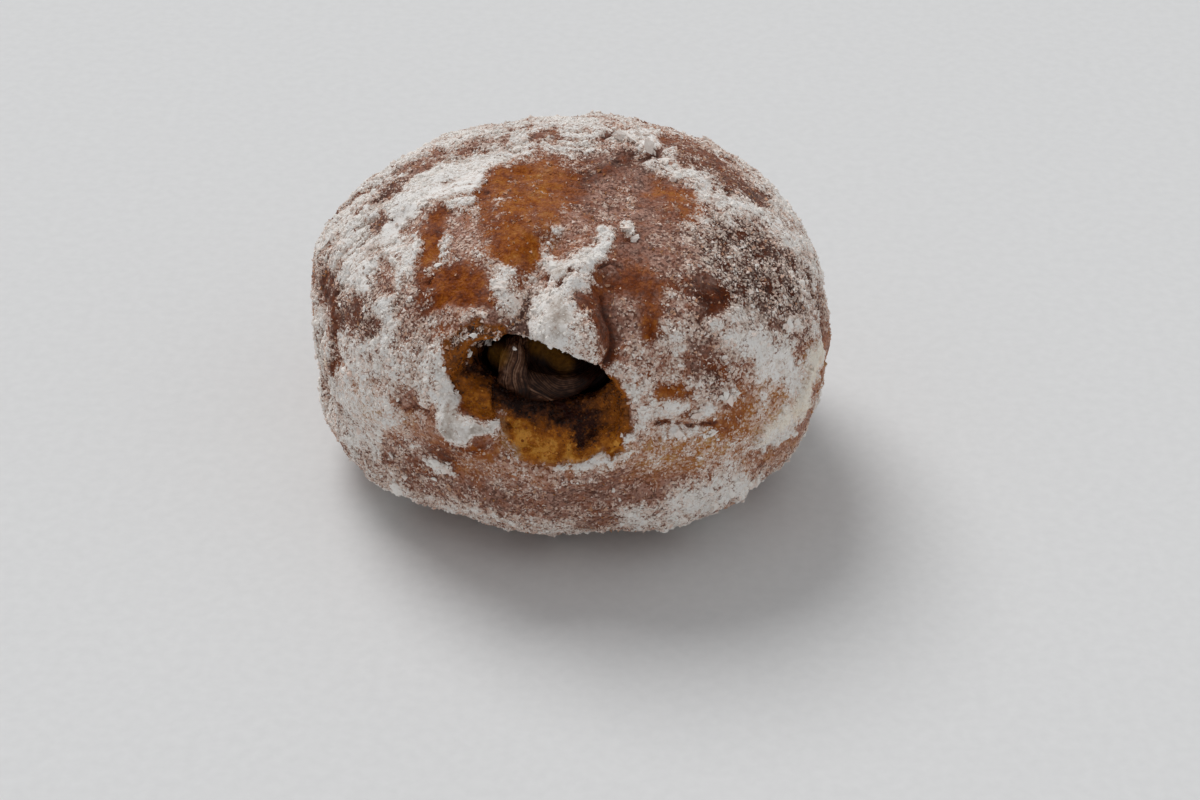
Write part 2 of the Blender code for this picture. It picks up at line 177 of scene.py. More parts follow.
def fine_copy(node, name, voxel, smoothings):
    """A copy of a solid in even, fine faces, with its points in millimetres and their directions."""
    piece = copy_of_solid(node, name)
    apply_modifier(piece, "SUBSURF", levels=1, render_levels=1)
    apply_modifier(piece, "REMESH", mode="VOXEL", voxel_size=voxel, use_smooth_shade=True)
    apply_modifier(piece, "SMOOTH", factor=VOXEL_SMOOTHING, iterations=smoothings)
    return piece, vertex_values(piece, "co") / MM, vertex_values(piece, "normal")


def move_vertices(piece, points):
    """Puts the vertices of a piece at points, given in millimetres."""
    piece.data.vertices.foreach_set("co", (points * MM).astype(np.float32).ravel())
    piece.data.update()


def store(mesh, name, values):
    """Stores one number for each vertex of a mesh, for its material to read."""
    layer = mesh.attributes.new(name, "FLOAT", "POINT")
    layer.data.foreach_set("value", values.astype(np.float32))


crust, skin, skin_out = fine_copy("dough", "crust", VOXEL, 1)
print("crust:", len(skin), "vertices,", triangle_count(crust), "triangles")

# %% [markdown]
# To paint the skin, each vertex must know what it belongs to: the outer skin, or the torn dough inside the
# mouth. The mouth's edge was modelled as a distance from its middle every thirty degrees, so the same few
# numbers, taken from the solid's own making, tell the two apart. It must also know how squarely the camera
# sees it, because the strokes fade as the skin turns away.

# %% The outer skin and the torn mouth
MOUTH_AZIMUTH = -7.0
MOUTH_LATITUDE = 14.5
RIM_RADII = (13.8, 11.6, 9.7, 9.8, 11.4, 14.2, 14.4, 7.4, 9.1, 11.0, 11.5, 13.8)
SURFACE_AT_MOUTH = 40.0
BUN_HALF_SIZES = (45.0, 41.5)
DOME = 31.0
BELLY = 25.2
DOME_POWER = 2.5
BELLY_POWER = 3.3
SKIN_DEPTH = 4.5
RIM_EDGE = (-0.1, 0.6)
GRAZING = 0.15


def unit(azimuth, latitude):
    """The unit direction of an azimuth, from the front towards the right, and a latitude, in degrees."""
    a = math.radians(azimuth)
    b = math.radians(latitude)
    return np.array([math.sin(a) * math.cos(b), -math.cos(a) * math.cos(b), math.sin(b)])


MOUTH_OUT = unit(MOUTH_AZIMUTH, MOUTH_LATITUDE)
MOUTH_RIGHT = unit(MOUTH_AZIMUTH + 90, 0)
MOUTH_UP = np.cross(MOUTH_OUT, MOUTH_RIGHT)


def mouth_axes(points):
    """Points in the mouth's own axes: right, up, and out from the doughnut's middle."""
    return (points - BELT_MIDDLE) @ np.column_stack((MOUTH_RIGHT, MOUTH_UP, MOUTH_OUT))


def depth_below_skin(points):
    """How far points lie below the smooth bun's surface."""
    from_middle = points - BELT_MIDDLE
    reach = np.linalg.norm(from_middle, axis=1)
    directions = from_middle / reach[:, None]
    height = np.where(directions[:, 2] > 0, DOME, BELLY)
    power = np.where(directions[:, 2] > 0, DOME_POWER, BELLY_POWER)
    level = np.hypot(directions[:, 0] / BUN_HALF_SIZES[0], directions[:, 1] / BUN_HALF_SIZES[1])
    return (level**power + np.abs(directions[:, 2] / height) ** power) ** (-1 / power) - reach


def inside_rim(points):
    """How far inside the mouth's torn edge points lie, in millimetres; less than nothing outside it."""
    across, upward, level = mouth_axes(points).T
    steps = len(RIM_RADII)
    angles = np.degrees(np.arctan2(upward, across)) % 360
    rim = np.interp(angles, np.arange(steps + 1) * 360 / steps, RIM_RADII + RIM_RADII[:1])
    spread = np.hypot(across, upward) * SURFACE_AT_MOUTH / np.maximum(level, 1)
    return np.where(level > 0, rim - spread, -SURFACE_AT_MOUTH)


depth = depth_below_skin(skin)
torn = np.maximum(ease(inside_rim(skin), *RIM_EDGE), ease(depth, SKIN_DEPTH, SKIN_DEPTH + 1))
to_camera = CAMERA_PLACE - skin
facing = (skin_out * to_camera).sum(1) / np.linalg.norm(to_camera, axis=1)
seen = ease(facing, 0, GRAZING) * (1 - torn)
print("torn dough:", round(100 * torn.mean()), "% of the skin")

# %% [markdown]
# Where nothing special happened, sugar lies as it fell and as hands left it, in clouds a centimetre or two
# across, with rubbed places between them. That general cover also finishes the back, the far sides and the
# underside, so they look like the front. The pale belt, where the frying fat reached, runs all round.

# %% The general cover of sugar, and the browning of the crust
CLOUD = 13.0
SMALL_CLOUD = 5.0
SMALL_CLOUD_SHARE = 0.6
SUGAR_MEAN = 0.62
SUGAR_SWING = 0.75
LEAST_SUGAR = 0.05
RUBBED_BELOW = -0.30
RUBBED_SUGAR = 0.08
FILM_MEAN = 0.45
FILM_SWING = 0.5
BROWNING = 0.68
BROWNING_SWING = 0.22
BROWNING_CLOUD = 19.0
BELT_HEIGHT = 1.2
BELT_HALF_WIDTH = 2.6
BELT_WANDER = 1.2
BELT_BEND = 9.0
BELT_PALENESS = 0.5
BELT_RUBBED = 0.3
RUBBED_PATCH = 11.0
RUBBED_WHERE = (-0.25, 0.15)

cloud = lumps(skin, CLOUD, 1) + SMALL_CLOUD_SHARE * lumps(skin, SMALL_CLOUD, 2)
sugar = np.clip(SUGAR_MEAN + SUGAR_SWING * cloud, LEAST_SUGAR, 1)
sugar = np.where(cloud < RUBBED_BELOW, RUBBED_SUGAR, sugar)
film = np.clip(FILM_MEAN + FILM_SWING * lumps(skin, CLOUD, 3), 0, 1)
brown = BROWNING + BROWNING_SWING * lumps(skin, BROWNING_CLOUD, 4)
wander = BELT_WANDER * lumps(skin, BELT_BEND, 5)
above_belt = skin[:, 2] - BELT_MIDDLE[2] - BELT_HEIGHT
belt = bell((above_belt + wander) / BELT_HALF_WIDTH)
brown -= BELT_PALENESS * belt
sugar -= BELT_RUBBED * belt * ease(lumps(skin, RUBBED_PATCH, 6), *RUBBED_WHERE)
print("general cover: sugar", round(sugar.mean(), 2), "and browning", round(brown.mean(), 2), "on average")

# %% [markdown]
# Now the patches that the eye knows this doughnut by. Each is a brush stroke: a target for the sugar's
# grains, a target for its thin film, a radius, and the places that it passes through, in picture pixels.
# Later strokes cover earlier ones. The stroke's edge is warped by noise, so no patch has a ruled outline.

# %% Strokes of sugar
SUGAR_STROKES = {
    "left flank": (0.84, 0.8, 38, ((350, 240), (350, 300), (355, 340))),
    "left edge": (0.92, 0.8, 12, ((318, 290), (318, 360), (326, 420))),
    "upper left": (0.94, 0.84, 30, ((345, 235), (375, 200), (420, 170), (470, 150))),
    "top": (0.94, 0.84, 18, ((470, 150), (530, 135), (600, 135), (660, 148))),
    "right of the crown": (0.2, 0.7, 42, ((620, 195), (660, 225), (640, 250))),
    "reddish, by the crown": (0.3, 0.6, 16, ((575, 205), (590, 225))),
    "mauve beside the crown": (0.4, 1.0, 13, ((566, 222), (580, 232), (568, 246))),
    "pink haze by the crown": (0.46, 1.0, 15, ((600, 195), (625, 200), (612, 215))),
    "right shoulder, specked": (0.55, 0.12, 45, ((725, 225), (765, 260), (770, 290))),
    "right shoulder, dense": (0.58, 0.2, 16, ((700, 232), (730, 262))),
    "mauve on the shoulder": (0.42, 1.0, 18, ((666, 240), (684, 258), (672, 276))),
    "right cheek": (0.58, 0.8, 40, ((700, 340), (740, 370), (700, 400))),
    "lower front": (0.32, 0.85, 34, ((410, 470), (470, 485), (540, 500), (610, 490), (660, 480))),
    "lower front rim": (0.74, 0.8, 10, ((395, 488), (450, 509), (500, 521), (560, 529), (620, 525))),
    "lower left": (0.86, 0.8, 34, ((350, 385), (360, 420), (385, 450))),
    "bare crown": (0.17, 0.02, 19, ((508, 182), (545, 178), (515, 215), (508, 245))),
    "bare crown, right edge": (0.28, 0.2, 13, ((545, 170), (574, 178), (562, 200), (535, 222))),
    "bare crown, low": (0.12, 0.0, 16, ((520, 240), (528, 258), (508, 240))),
    "bare crown, left edge": (0.26, 0.2, 10, ((490, 176), (486, 205), (488, 225))),
    "specks in the crown": (0.32, 0.2, 9, ((515, 184), (532, 192))),
    "specks in the crown, low": (0.3, 0.2, 7, ((532, 228), (545, 232))),
    "rubbed film on the left": (0.44, 1.0, 13, ((452, 222), (468, 235), (462, 252))),
    "bare strip on the left": (0.03, 0.0, 8, ((440, 212), (433, 235), (429, 258))),
    "bare left cheek": (0.05, 0.0, 18, ((446, 284), (470, 282), (474, 298), (448, 303))),
    "bare left cheek, low edge": (0.26, 0.2, 8, ((419, 270), (417, 300), (436, 321))),
    "shoulder streak": (1.0, 1.0, 9, ((390, 240), (402, 214), (425, 200), (465, 188), (482, 170))),
    "second streak": (1.0, 0.9, 9, ((400, 208), (440, 182), (480, 165), (520, 152))),
    "crevices at the upper left": (0.38, 0.3, 7, ((384, 194), (397, 184), (410, 174))),
    "mauve streak at the upper left": (0.34, 0.8, 6, ((408, 173), (422, 165), (438, 157))),
    "small rubbed spot": (0.34, 0.5, 6, ((377, 228), (384, 218))),
    "brown spot in the top": (0.3, 0.5, 6, ((533, 137), (552, 134))),
    "thin streak in the top": (0.45, 0.6, 4, ((462, 152), (480, 146), (505, 140))),
    "brown at the left": (0.32, 0.25, 11, ((327, 285), (334, 292))),
    "brown fold at the left": (0.38, 0.3, 12, ((362, 300), (372, 292), (352, 318), (366, 326))),
    "dark pleat": (0.3, 0.25, 5, ((333, 300), (334, 330), (336, 368))),
    "smooth patch at the left": (0.95, 0.95, 13, ((350, 262), (365, 260), (362, 282))),
    "white column": (0.88, 0.9, 14, ((398, 255), (398, 290), (405, 330))),
    "purple specks": (0.5, 0.5, 8, ((386, 262), (386, 290))),
    "left of the mouth": (0.78, 0.85, 24, ((375, 372), (415, 365), (420, 385))),
    "mauve, left and low": (0.5, 1.0, 16, ((408, 405), (420, 425), (398, 445))),
    "arch over the torn corner": (0.64, 1.0, 9, ((430, 326), (450, 314), (478, 317))),
    "between cheek and arch": (0.64, 0.8, 10, ((406, 290), (408, 330), (422, 350))),
    "low brown": (0.3, 0.12, 13, ((440, 452), (470, 458), (500, 470))),
    "low brown, left": (0.48, 0.5, 14, ((395, 462), (420, 478))),
    "L-shaped patch": (1.0, 1.0, 11, ((449, 402), (447, 428), (466, 434), (488, 426))),
    "thin middle of the patch": (0.7, 1.0, 4, ((466, 424), (482, 424))),
    "flakes at the lower left": (0.9, 0.8, 4, ((427, 458), (440, 466), (452, 471))),
    "chin film": (0.44, 1.0, 12, ((505, 465), (545, 478), (590, 474), (520, 490))),
    "chin, tan": (0.4, 0.6, 9, ((475, 470), (500, 480), (520, 497))),
    "white under the mouth": (0.85, 0.9, 6, ((575, 466), (590, 461), (604, 456))),
    "right lip": (0.72, 1.0, 10, ((640, 392), (641, 425), (630, 446), (607, 460))),
    "rim of the lip": (0.92, 1.0, 4, (
        (562, 467), (590, 462), (614, 453), (632, 438), (640, 420), (640, 400),
    )),
    "low brown, right": (0.38, 0.8, 9, ((588, 522), (610, 518), (600, 495))),
    "tongue of sugar": (0.95, 0.9, 8, ((604, 234), (601, 252), (588, 266), (578, 284))),
    "tongue, wide part": (0.9, 0.95, 12, ((590, 260), (572, 272), (578, 292))),
    "lump by the tongue": (1.0, 0.95, 8, ((554, 268), (562, 278))),
    "dust on the streak": (0.6, 0.9, 9, ((518, 304), (520, 330))),
    "over the valley": (0.86, 0.8, 11, ((498, 272), (505, 290), (510, 308))),
    "brow": (1.0, 1.0, 17, ((556, 308), (560, 326))),
    "brow, low and right": (0.78, 1.0, 12, ((580, 335), (590, 352))),
    "brown spot by the brow": (0.24, 0.3, 7, ((584, 301), (592, 306))),
    "film right of the crease": (0.45, 1.0, 13, ((626, 305), (630, 345), (632, 368))),
    "lump of sugar by the lip": (0.95, 1.0, 9, ((618, 392), (632, 388))),
    "grey patch by the crease": (0.8, 1.0, 8, ((618, 370), (632, 372))),
    "bare cheek, right": (0.12, 0.15, 11, ((606, 284), (630, 277), (652, 285))),
    "olive strip": (0.14, 0.1, 9, ((650, 300), (650, 322), (648, 338))),
    "dark specked hollow": (0.2, 0.0, 10, ((704, 283), (706, 300), (700, 312), (722, 296))),
    "brown band": (0.3, 0.4, 8, ((668, 292), (690, 285), (706, 280))),
    "pink sugar": (0.56, 1.0, 11, ((672, 302), (690, 308), (680, 322))),
    "smooth grey patch": (0.72, 1.0, 13, ((672, 330), (668, 350))),
    "film on the cheek": (0.5, 1.0, 12, ((640, 352), (655, 360))),
    "brown in the cheek": (0.34, 0.7, 9, ((694, 345), (690, 368), (712, 352))),
    "specks in the cheek": (0.5, 0.3, 14, ((720, 365), (732, 385))),
    "soft white at the right": (0.95, 0.93, 24, ((742, 330), (768, 345), (778, 372))),
    "soft white, edge": (0.8, 0.8, 10, ((715, 327), (735, 320), (800, 345))),
    "white flake line": (0.95, 0.9, 7, ((793, 322), (797, 345))),
    "grey hollow": (0.45, 0.6, 5, ((776, 325), (798, 335), (798, 350))),
    "edge at the right": (0.8, 0.8, 7, ((800, 262), (812, 295), (818, 325))),
    "outer strip at the right": (0.46, 0.6, 5, ((820, 285), (825, 310), (827, 335))),
    "small orange patch": (0.18, 0.1, 7, ((660, 393), (676, 392), (686, 396))),
    "white by the orange patch": (0.95, 0.9, 8, ((668, 411), (682, 408))),
    "white chips": (0.95, 0.9, 6, ((695, 415), (706, 412))),
    "cream chip": (1.0, 0.8, 7, ((722, 396), (732, 394))),
    "white low chips": (0.9, 0.8, 7, ((678, 432), (712, 434))),
    "belt, rubbed": (0.52, 0.15, 15, ((655, 458), (700, 452), (735, 430), (745, 410))),
    "belt, specked": (0.58, 0.3, 14, ((775, 398), (765, 420), (738, 446))),
    "belt, orange spot": (0.36, 0.2, 8, ((726, 428), (736, 414))),
    "belt, low": (0.56, 0.8, 12, ((745, 461), (768, 456))),
    "pale ring": (1.0, 0.7, 8, ((815, 350), (809, 384), (798, 406), (782, 427), (764, 441))),
    "under the ring": (0.26, 0.9, 9, ((831, 345), (827, 380), (817, 406), (801, 431), (784, 453))),
    "low right brown": (0.5, 0.9, 9, ((790, 450), (775, 466), (760, 472))),
    "fringe": (0.88, 0.9, 15, ((672, 509), (700, 497), (735, 486))),
    "fringe, right": (0.9, 0.8, 8, ((745, 488), (758, 482))),
    "fringe, left": (0.8, 0.9, 11, ((630, 513), (655, 515))),
    "rim at the upper right": (0.84, 0.7, 6, ((700, 142), (735, 157), (768, 182), (795, 215), (812, 250))),
    "diagonal band": (0.86, 0.85, 8, ((650, 150), (685, 180), (712, 202), (770, 218), (800, 250))),
    "crown flakes": (0.8, 0.8, 9, ((615, 140), (640, 148), (655, 165))),
    "crown lump, left": (1.0, 1.0, 6, ((621, 136), (633, 140))),
    "crown lump, right": (1.0, 1.0, 6, ((647, 147), (657, 152))),
    "lump above the tongue": (1.0, 0.9, 5, ((624, 226), (632, 233))),
    "crevices of the crown": (0.36, 0.4, 6, ((700, 162), (722, 172), (740, 185), (762, 200))),
    "golden patch": (0.26, 0.3, 12, ((660, 192), (686, 204))),
    "rusty strip by the crown": (0.22, 0.25, 5, ((590, 178), (608, 168), (630, 160))),
    "strip at the crown": (0.35, 0.4, 6, ((665, 140), (690, 150))),
}
print(len(SUGAR_STROKES), "strokes of sugar")

# %% [markdown]
# The crust's own colour is painted the same way, as one number from 0, the pale belt, through golden and
# orange to 1, almost burnt.

# %% Strokes of browning
BROWNING_STROKES = {
    "bare crown": (0.52, 34, ((505, 190), (545, 185), (520, 245))),
    "orange middle of the crown": (0.44, 10, ((545, 172), (540, 195))),
    "rusty left of the crown": (0.62, 8, ((488, 215), (495, 238))),
    "left cheek": (0.62, 24, ((430, 235), (445, 285), (475, 295))),
    "golden strip": (0.5, 7, ((432, 245), (426, 268))),
    "right of the crown": (0.75, 36, ((620, 200), (650, 240))),
    "right cheek, bare": (0.66, 20, ((610, 284), (650, 280))),
    "olive strip": (0.62, 12, ((650, 300), (650, 340))),
    "right shoulder": (0.92, 55, ((740, 250), (780, 290))),
    "right cheek": (0.8, 22, ((692, 342), (706, 376))),
    "hollow at the right": (0.86, 16, ((705, 285), (705, 308))),
    "golden patch": (0.54, 16, ((662, 192), (690, 205))),
    "left flank": (0.84, 40, ((340, 290), (370, 320))),
    "left edge": (0.78, 26, ((318, 300), (318, 360), (330, 430), (370, 460))),
    "crevices at the upper left": (0.84, 10, ((384, 194), (410, 174))),
    "left, beside the mouth": (0.72, 20, ((410, 300), (420, 340))),
    "lower front": (0.74, 36, ((400, 470), (470, 476), (560, 505), (640, 500))),
    "tan below the mouth": (0.5, 13, ((470, 466), (510, 468), (545, 478))),
    "small orange patch": (0.56, 14, ((662, 393), (686, 396))),
    "belt": (0.35, 24, ((655, 458), (700, 450), (735, 430), (770, 400))),
    "belt, orange spot": (0.5, 9, ((735, 416), (726, 430))),
    "pale ring": (0.05, 10, ((815, 350), (809, 384), (798, 406), (764, 441))),
    "under the ring": (0.6, 9, ((831, 348), (827, 382), (817, 408), (794, 450))),
    "tan, low right": (0.44, 15, ((742, 464), (772, 458), (795, 438))),
    "dark spot, low right": (0.75, 5, ((756, 474), (768, 470))),
}
print(len(BROWNING_STROKES), "strokes of browning")

# %% [markdown]
# A stroke reaches only the skin that the camera sees; its strength fades as the skin turns away. Wandering
# edges come from shifting each vertex's place in the picture by noise before the distance is measured.

# %% Paint the strokes
WANDER_PIXELS = ((6.0, 4.0), (4.5, 1.6), (3.0, 0.8))
STROKE_EDGE = 1.0
BROWNING_EDGE = 1.2
EDGE_PIXELS = 2.0


def distance_to_route(places, route):
    """Each place's distance to a line through the places of route."""
    best = np.full(len(places), np.inf)
    route = np.array(route, float)
    for start, end in zip(route, route[1:]):
        span = end - start
        share = np.clip((places - start) @ span / (span @ span), 0, 1)
        best = np.minimum(best, np.linalg.norm(places - start - share[:, None] * span, axis=1))
    return best


def stroke_cover(places, radius, route, softness=STROKE_EDGE):
    """How fully a stroke covers each place, from 0 to 1."""
    edge = softness * radius + EDGE_PIXELS
    return 1 - ease(distance_to_route(places, route), radius - edge / 2, radius + edge / 2)


def most_cover(places, strokes):
    """The most that any of some strokes, each with its own strength, covers each place."""
    most = np.zeros(len(places))
    for strength, radius, route in strokes.values():
        most = np.maximum(most, strength * stroke_cover(places, radius, route))
    return most


still_places = in_picture(skin)
places = still_places.copy()
for reach, size in WANDER_PIXELS:
    places += reach * np.column_stack((lumps(skin, size, 7), lumps(skin, size, 8)))
for sugar_there, film_there, radius, route in SUGAR_STROKES.values():
    cover = stroke_cover(places, radius, route) * seen
    sugar += (sugar_there - sugar) * cover
    film += (film_there - film) * cover
for brown_there, radius, route in BROWNING_STROKES.values():
    brown += (brown_there - brown) * stroke_cover(places, radius, route, BROWNING_EDGE) * seen
print("strokes painted: sugar", round(sugar.mean(), 2), "and browning", round(brown.mean(), 2), "on average")

# %% [markdown]
# Fine structure goes on top of the strokes. Dough that was pushed together has wrinkles that run round the
# mouth, close together near the doughnut's outline; each has less sugar in it, and later its sugar is
# painted grey as painted shade.
# Sugar also clumps: lumps of one to three millimetres lie beside thinner places. Where it was pressed on, it
# is smoother, and few clumps, wrinkles, grains or flakes show.

# %% Wrinkles and clumps
WRINKLE_SPACING = 2.3
WRINKLE_LENGTH = 13.0
WRINKLE_SHARPNESS = 0.15
WRINKLE_FIELD = 8.0
WRINKLED_FROM = (45, 62)
WRINKLED_WHERE = (-0.3, 0.2)
WRINKLES_LOST_ON_BELT = 0.8
UPWARD_SHARE = 0.6
LEFT_OR_TOP_EDGE = (-4, 10)
FOLDED_ANYWHERE = 0.2
PRESSED_FILM = (0.86, 0.98)
PRESSED_SUGAR = (0.9, 0.98)
PRESSING_TAKES = {"wrinkles": 0.7, "clumps": 0.8, "lumps": 0.5, "grains": 0.8, "flakes": 0.95}
CLUMPS = ((3.4, 0.24), (1.5, 0.2))
MOST_CLUMPED = 0.5
CLUMPED_SPAN = 0.3
CLUMPED_ANYWHERE = 0.35
LESS_IN_WRINKLES = 0.25
BAREST = 0.02
CLUMPS_FROM = (BAREST, 0.2)
FILM_CLUMPS = (2.4, 0.25)

mouth_place = mouth_axes(skin)
from_mouth = np.degrees(np.arccos(np.clip(mouth_place[:, 2] / np.linalg.norm(mouth_place, axis=1), -1, 1)))
round_mouth = np.arctan2(mouth_place[:, 1], mouth_place[:, 0])
ring = np.column_stack((
    np.radians(from_mouth) * SURFACE_AT_MOUTH / WRINKLE_SPACING,
    np.cos(round_mouth) * SURFACE_AT_MOUTH / WRINKLE_LENGTH,
    np.sin(round_mouth) * SURFACE_AT_MOUTH / WRINKLE_LENGTH,
))
pressed = ease(film, *PRESSED_FILM) * ease(sugar, *PRESSED_SUGAR)
left_or_top = ease(UPWARD_SHARE * mouth_place[:, 1] - mouth_place[:, 0], *LEFT_OR_TOP_EDGE)
left_or_top *= 1 - PRESSING_TAKES["wrinkles"] * pressed
folded = ease(from_mouth, *WRINKLED_FROM) * ease(lumps(skin, WRINKLE_FIELD, 23), *WRINKLED_WHERE)
folded *= 1 - torn
folded *= 1 - WRINKLES_LOST_ON_BELT * belt
folded *= FOLDED_ANYWHERE + (1 - FOLDED_ANYWHERE) * left_or_top
wrinkles = bell(lumps(ring, 1.0, 9) / WRINKLE_SHARPNESS) * folded
clumps = sum(rise * lumps(skin, size, 10 + k) for k, (size, rise) in enumerate(CLUMPS))
half_covered = bell((sugar - MOST_CLUMPED) / CLUMPED_SPAN)
patchy = CLUMPED_ANYWHERE + (1 - CLUMPED_ANYWHERE) * half_covered
patchy *= 1 - PRESSING_TAKES["clumps"] * pressed
sugar += clumps * patchy * ease(sugar, *CLUMPS_FROM)
sugar = np.clip(sugar - LESS_IN_WRINKLES * wrinkles, BAREST, 1)
film = np.clip(film + FILM_CLUMPS[1] * lumps(skin, FILM_CLUMPS[0], 13), 0, 1)
print("wrinkles on", round(100 * (wrinkles > 0.5).mean()), "% of the skin")

# %% [markdown]
# A few thin dark lines are cracks and folds of the crust: sugar is lost in them, and the crust's brown is
# darkened there, which is painted shade. They are drawn with no wander, and later they are cut into the skin
# too. Each has half its width and its route. The thin ones are broken here and there, as cracks are.

# %% Creases
CREASES = {
    "beside the brow": (1.9, ((602, 296), (605, 314), (612, 330), (613, 346), (605, 364))),
    "left, in the white": (0.9, ((364, 269), (372, 284))),
    "crescent in the tongue": (1.3, ((548, 279), (559, 286), (572, 274))),
    "under the tongue's tip": (1.1, ((598, 268), (610, 262), (622, 268))),
    "by the flake": (1.0, ((622, 242), (636, 240), (645, 228))),
    "across the crown": (1.3, ((588, 174), (602, 167), (620, 160))),
    "top, first": (1.8, ((603, 137), (616, 135))),
    "top, second": (1.8, ((640, 160), (660, 153))),
    "cheek": (1.3, ((657, 423), (672, 421), (688, 426), (702, 424), (716, 423))),
    "right edge": (1.0, ((805, 266), (812, 292), (819, 318), (822, 340))),
    "low front": (0.8, ((588, 491), (606, 496))),
    "golden edge of the crown": (1.3, ((470, 207), (482, 200), (488, 190))),
    "beside the strip": (1.3, ((446, 268), (436, 274), (428, 284))),
    "upper left": (1.1, ((352, 218), (368, 206), (380, 199))),
    "left, low": (1.1, ((398, 402), (406, 410), (418, 406), (428, 412))),
}
THIN_CREASE = 1.5
CRACK_LENGTH = 1.4
BROKEN_WHERE = (-0.25, 0.1)
CREASE_SEEN = (0.05, 0.3)
CREASE_SHADE = 0.9
SUGAR_LOST = 0.9
FILM_LOST = 0.8

broken = ease(lumps(skin, CRACK_LENGTH, 29), *BROKEN_WHERE)
crease = np.zeros(len(skin))
for half_width, route in CREASES.values():
    line = bell(distance_to_route(still_places, route) / half_width)
    crease = np.maximum(crease, line * (broken if half_width < THIN_CREASE else 1))
crease *= ease(facing, *CREASE_SEEN) * (1 - torn)
sugar = np.clip(sugar - SUGAR_LOST * crease, BAREST, 1)
film *= 1 - FILM_LOST * crease
# Painted shade: the crust is darkened in the creases.
brown += (CREASE_SHADE - brown) * crease
print(len(CREASES), "creases drawn")

# %% [markdown]
# Torn dough has no crust. It is golden where it is dry, darker where the cream and fat have soaked in, and
# smeared with chocolate on the right, where the cream was dragged over it. Some strokes paint light and
# shade
# on it: a painted shadow under the cream's column, painted shade in the hollow beside the column and in a
# gap at the right, and a painted highlight on the lit lower lip. A second number, from golden to almost
# black, gives its colour. The tear runs a little past the modelled edge at both sides, and a little sugar
# fell on its left corner.

# %% The torn dough's colour and the smears of chocolate
TORN_STROKES = {
    "left corner, red and orange": (0.54, 18, ((450, 350), (462, 372), (478, 388))),
    "left corner, crumbs": (0.76, 10, ((450, 338), (470, 336), (496, 344))),
    "orange middle": (0.34, 15, ((478, 398), (498, 408), (512, 420))),
    "right side": (0.42, 20, ((590, 392), (618, 406), (626, 424))),
    "right rim": (0.56, 6, ((622, 396), (630, 410), (630, 428))),
    "lower lip": (0.07, 22, ((526, 430), (545, 448), (575, 450))),
    "mound in the middle": (0.3, 12, ((536, 420), (556, 426))),
    "seam between the mounds": (0.66, 3, ((506, 398), (504, 415), (508, 430))),
    "lower lip, lit": (0.0, 7, ((530, 442), (552, 450))),
    "lower lip, seam": (0.4, 4, ((556, 430), (566, 442), (560, 452))),
    "olive end": (0.2, 9, ((586, 452), (610, 446))),
    "dark and purple": (0.84, 13, ((572, 414), (586, 424), (588, 434))),
    # Painted shade in the hollow by the column, and below: a painted shadow under the column and painted
    # shade in the right gap.
    "shade in the hollow by the column": (0.8, 8, ((474, 366), (500, 367))),
    "behind the hollow": (0.45, 8, ((472, 350), (500, 348))),
    "shadow under the column": (1.05, 9, ((500, 393), (512, 400), (530, 407), (560, 412))),
    "shade in the right gap": (0.95, 6, ((570, 384), (600, 380))),
}
CHOCOLATE_STROKES = {
    "smear on the right": (0.45, 11, ((570, 408), (584, 420), (590, 432))),
    "drawn out to the right": (0.9, 2.5, ((541, 400), (559, 405), (572, 413))),
    "smear, low": (0.5, 8, ((574, 434), (590, 440))),
    "streak up the valley": (1.0, 8.5, ((519, 346), (519, 334), (520, 322))),
    "streak up the valley, end": (0.62, 7, ((520, 322), (523, 308), (528, 298))),
}
BEYOND_RIM = {
    "left corner": (12, ((500, 338), (476, 335), (458, 340), (455, 358), (463, 378), (482, 396))),
    "right side": (9, ((606, 384), (617, 398), (622, 412), (621, 430), (612, 444))),
}
DUSTED_CORNER = (0.5, 8, ((448, 341), (470, 334), (497, 337)))
TORN_EDGE = 0.15
FRONT_FROM = 25
TORN_TONE = 0.52
TORN_SWING = 0.3
TORN_LUMP = 4.0
SMEAR_LUMPS = (1.3, 0.7)
SMEARED = (0.2, 0.6)
SUGAR_SMEARED_AWAY = 0.4
FILM_SMEARED_AWAY = 0.5
DUST_LUMP = 1.6

around_mouth = mouth_place[:, 2] > FRONT_FROM
for radius, route in BEYOND_RIM.values():
    torn = np.maximum(torn, stroke_cover(places, radius, route, TORN_EDGE) * around_mouth)
torn_brown = TORN_TONE + TORN_SWING * lumps(skin, TORN_LUMP, 14)
for brown_there, radius, route in TORN_STROKES.values():
    torn_brown += (brown_there - torn_brown) * stroke_cover(places, radius, route, BROWNING_EDGE)
reachable = (facing > 0) * around_mouth
chocolate = most_cover(places, CHOCOLATE_STROKES) * reachable
chocolate = np.clip(chocolate * (1 + SMEAR_LUMPS[1] * lumps(skin, SMEAR_LUMPS[0], 15)), 0, 1)
smeared = ease(chocolate, *SMEARED)
sugar *= (1 - SUGAR_SMEARED_AWAY * smeared) * (1 - torn)
film *= (1 - FILM_SMEARED_AWAY * smeared) * (1 - torn)
dust, radius, route = DUSTED_CORNER
dusted = dust * stroke_cover(places, radius, route) * reachable
sugar = np.maximum(sugar, dusted * (1 + lumps(skin, DUST_LUMP, 25)))
print("torn dough with its ragged edge:", round(100 * torn.mean()), "% of the skin")
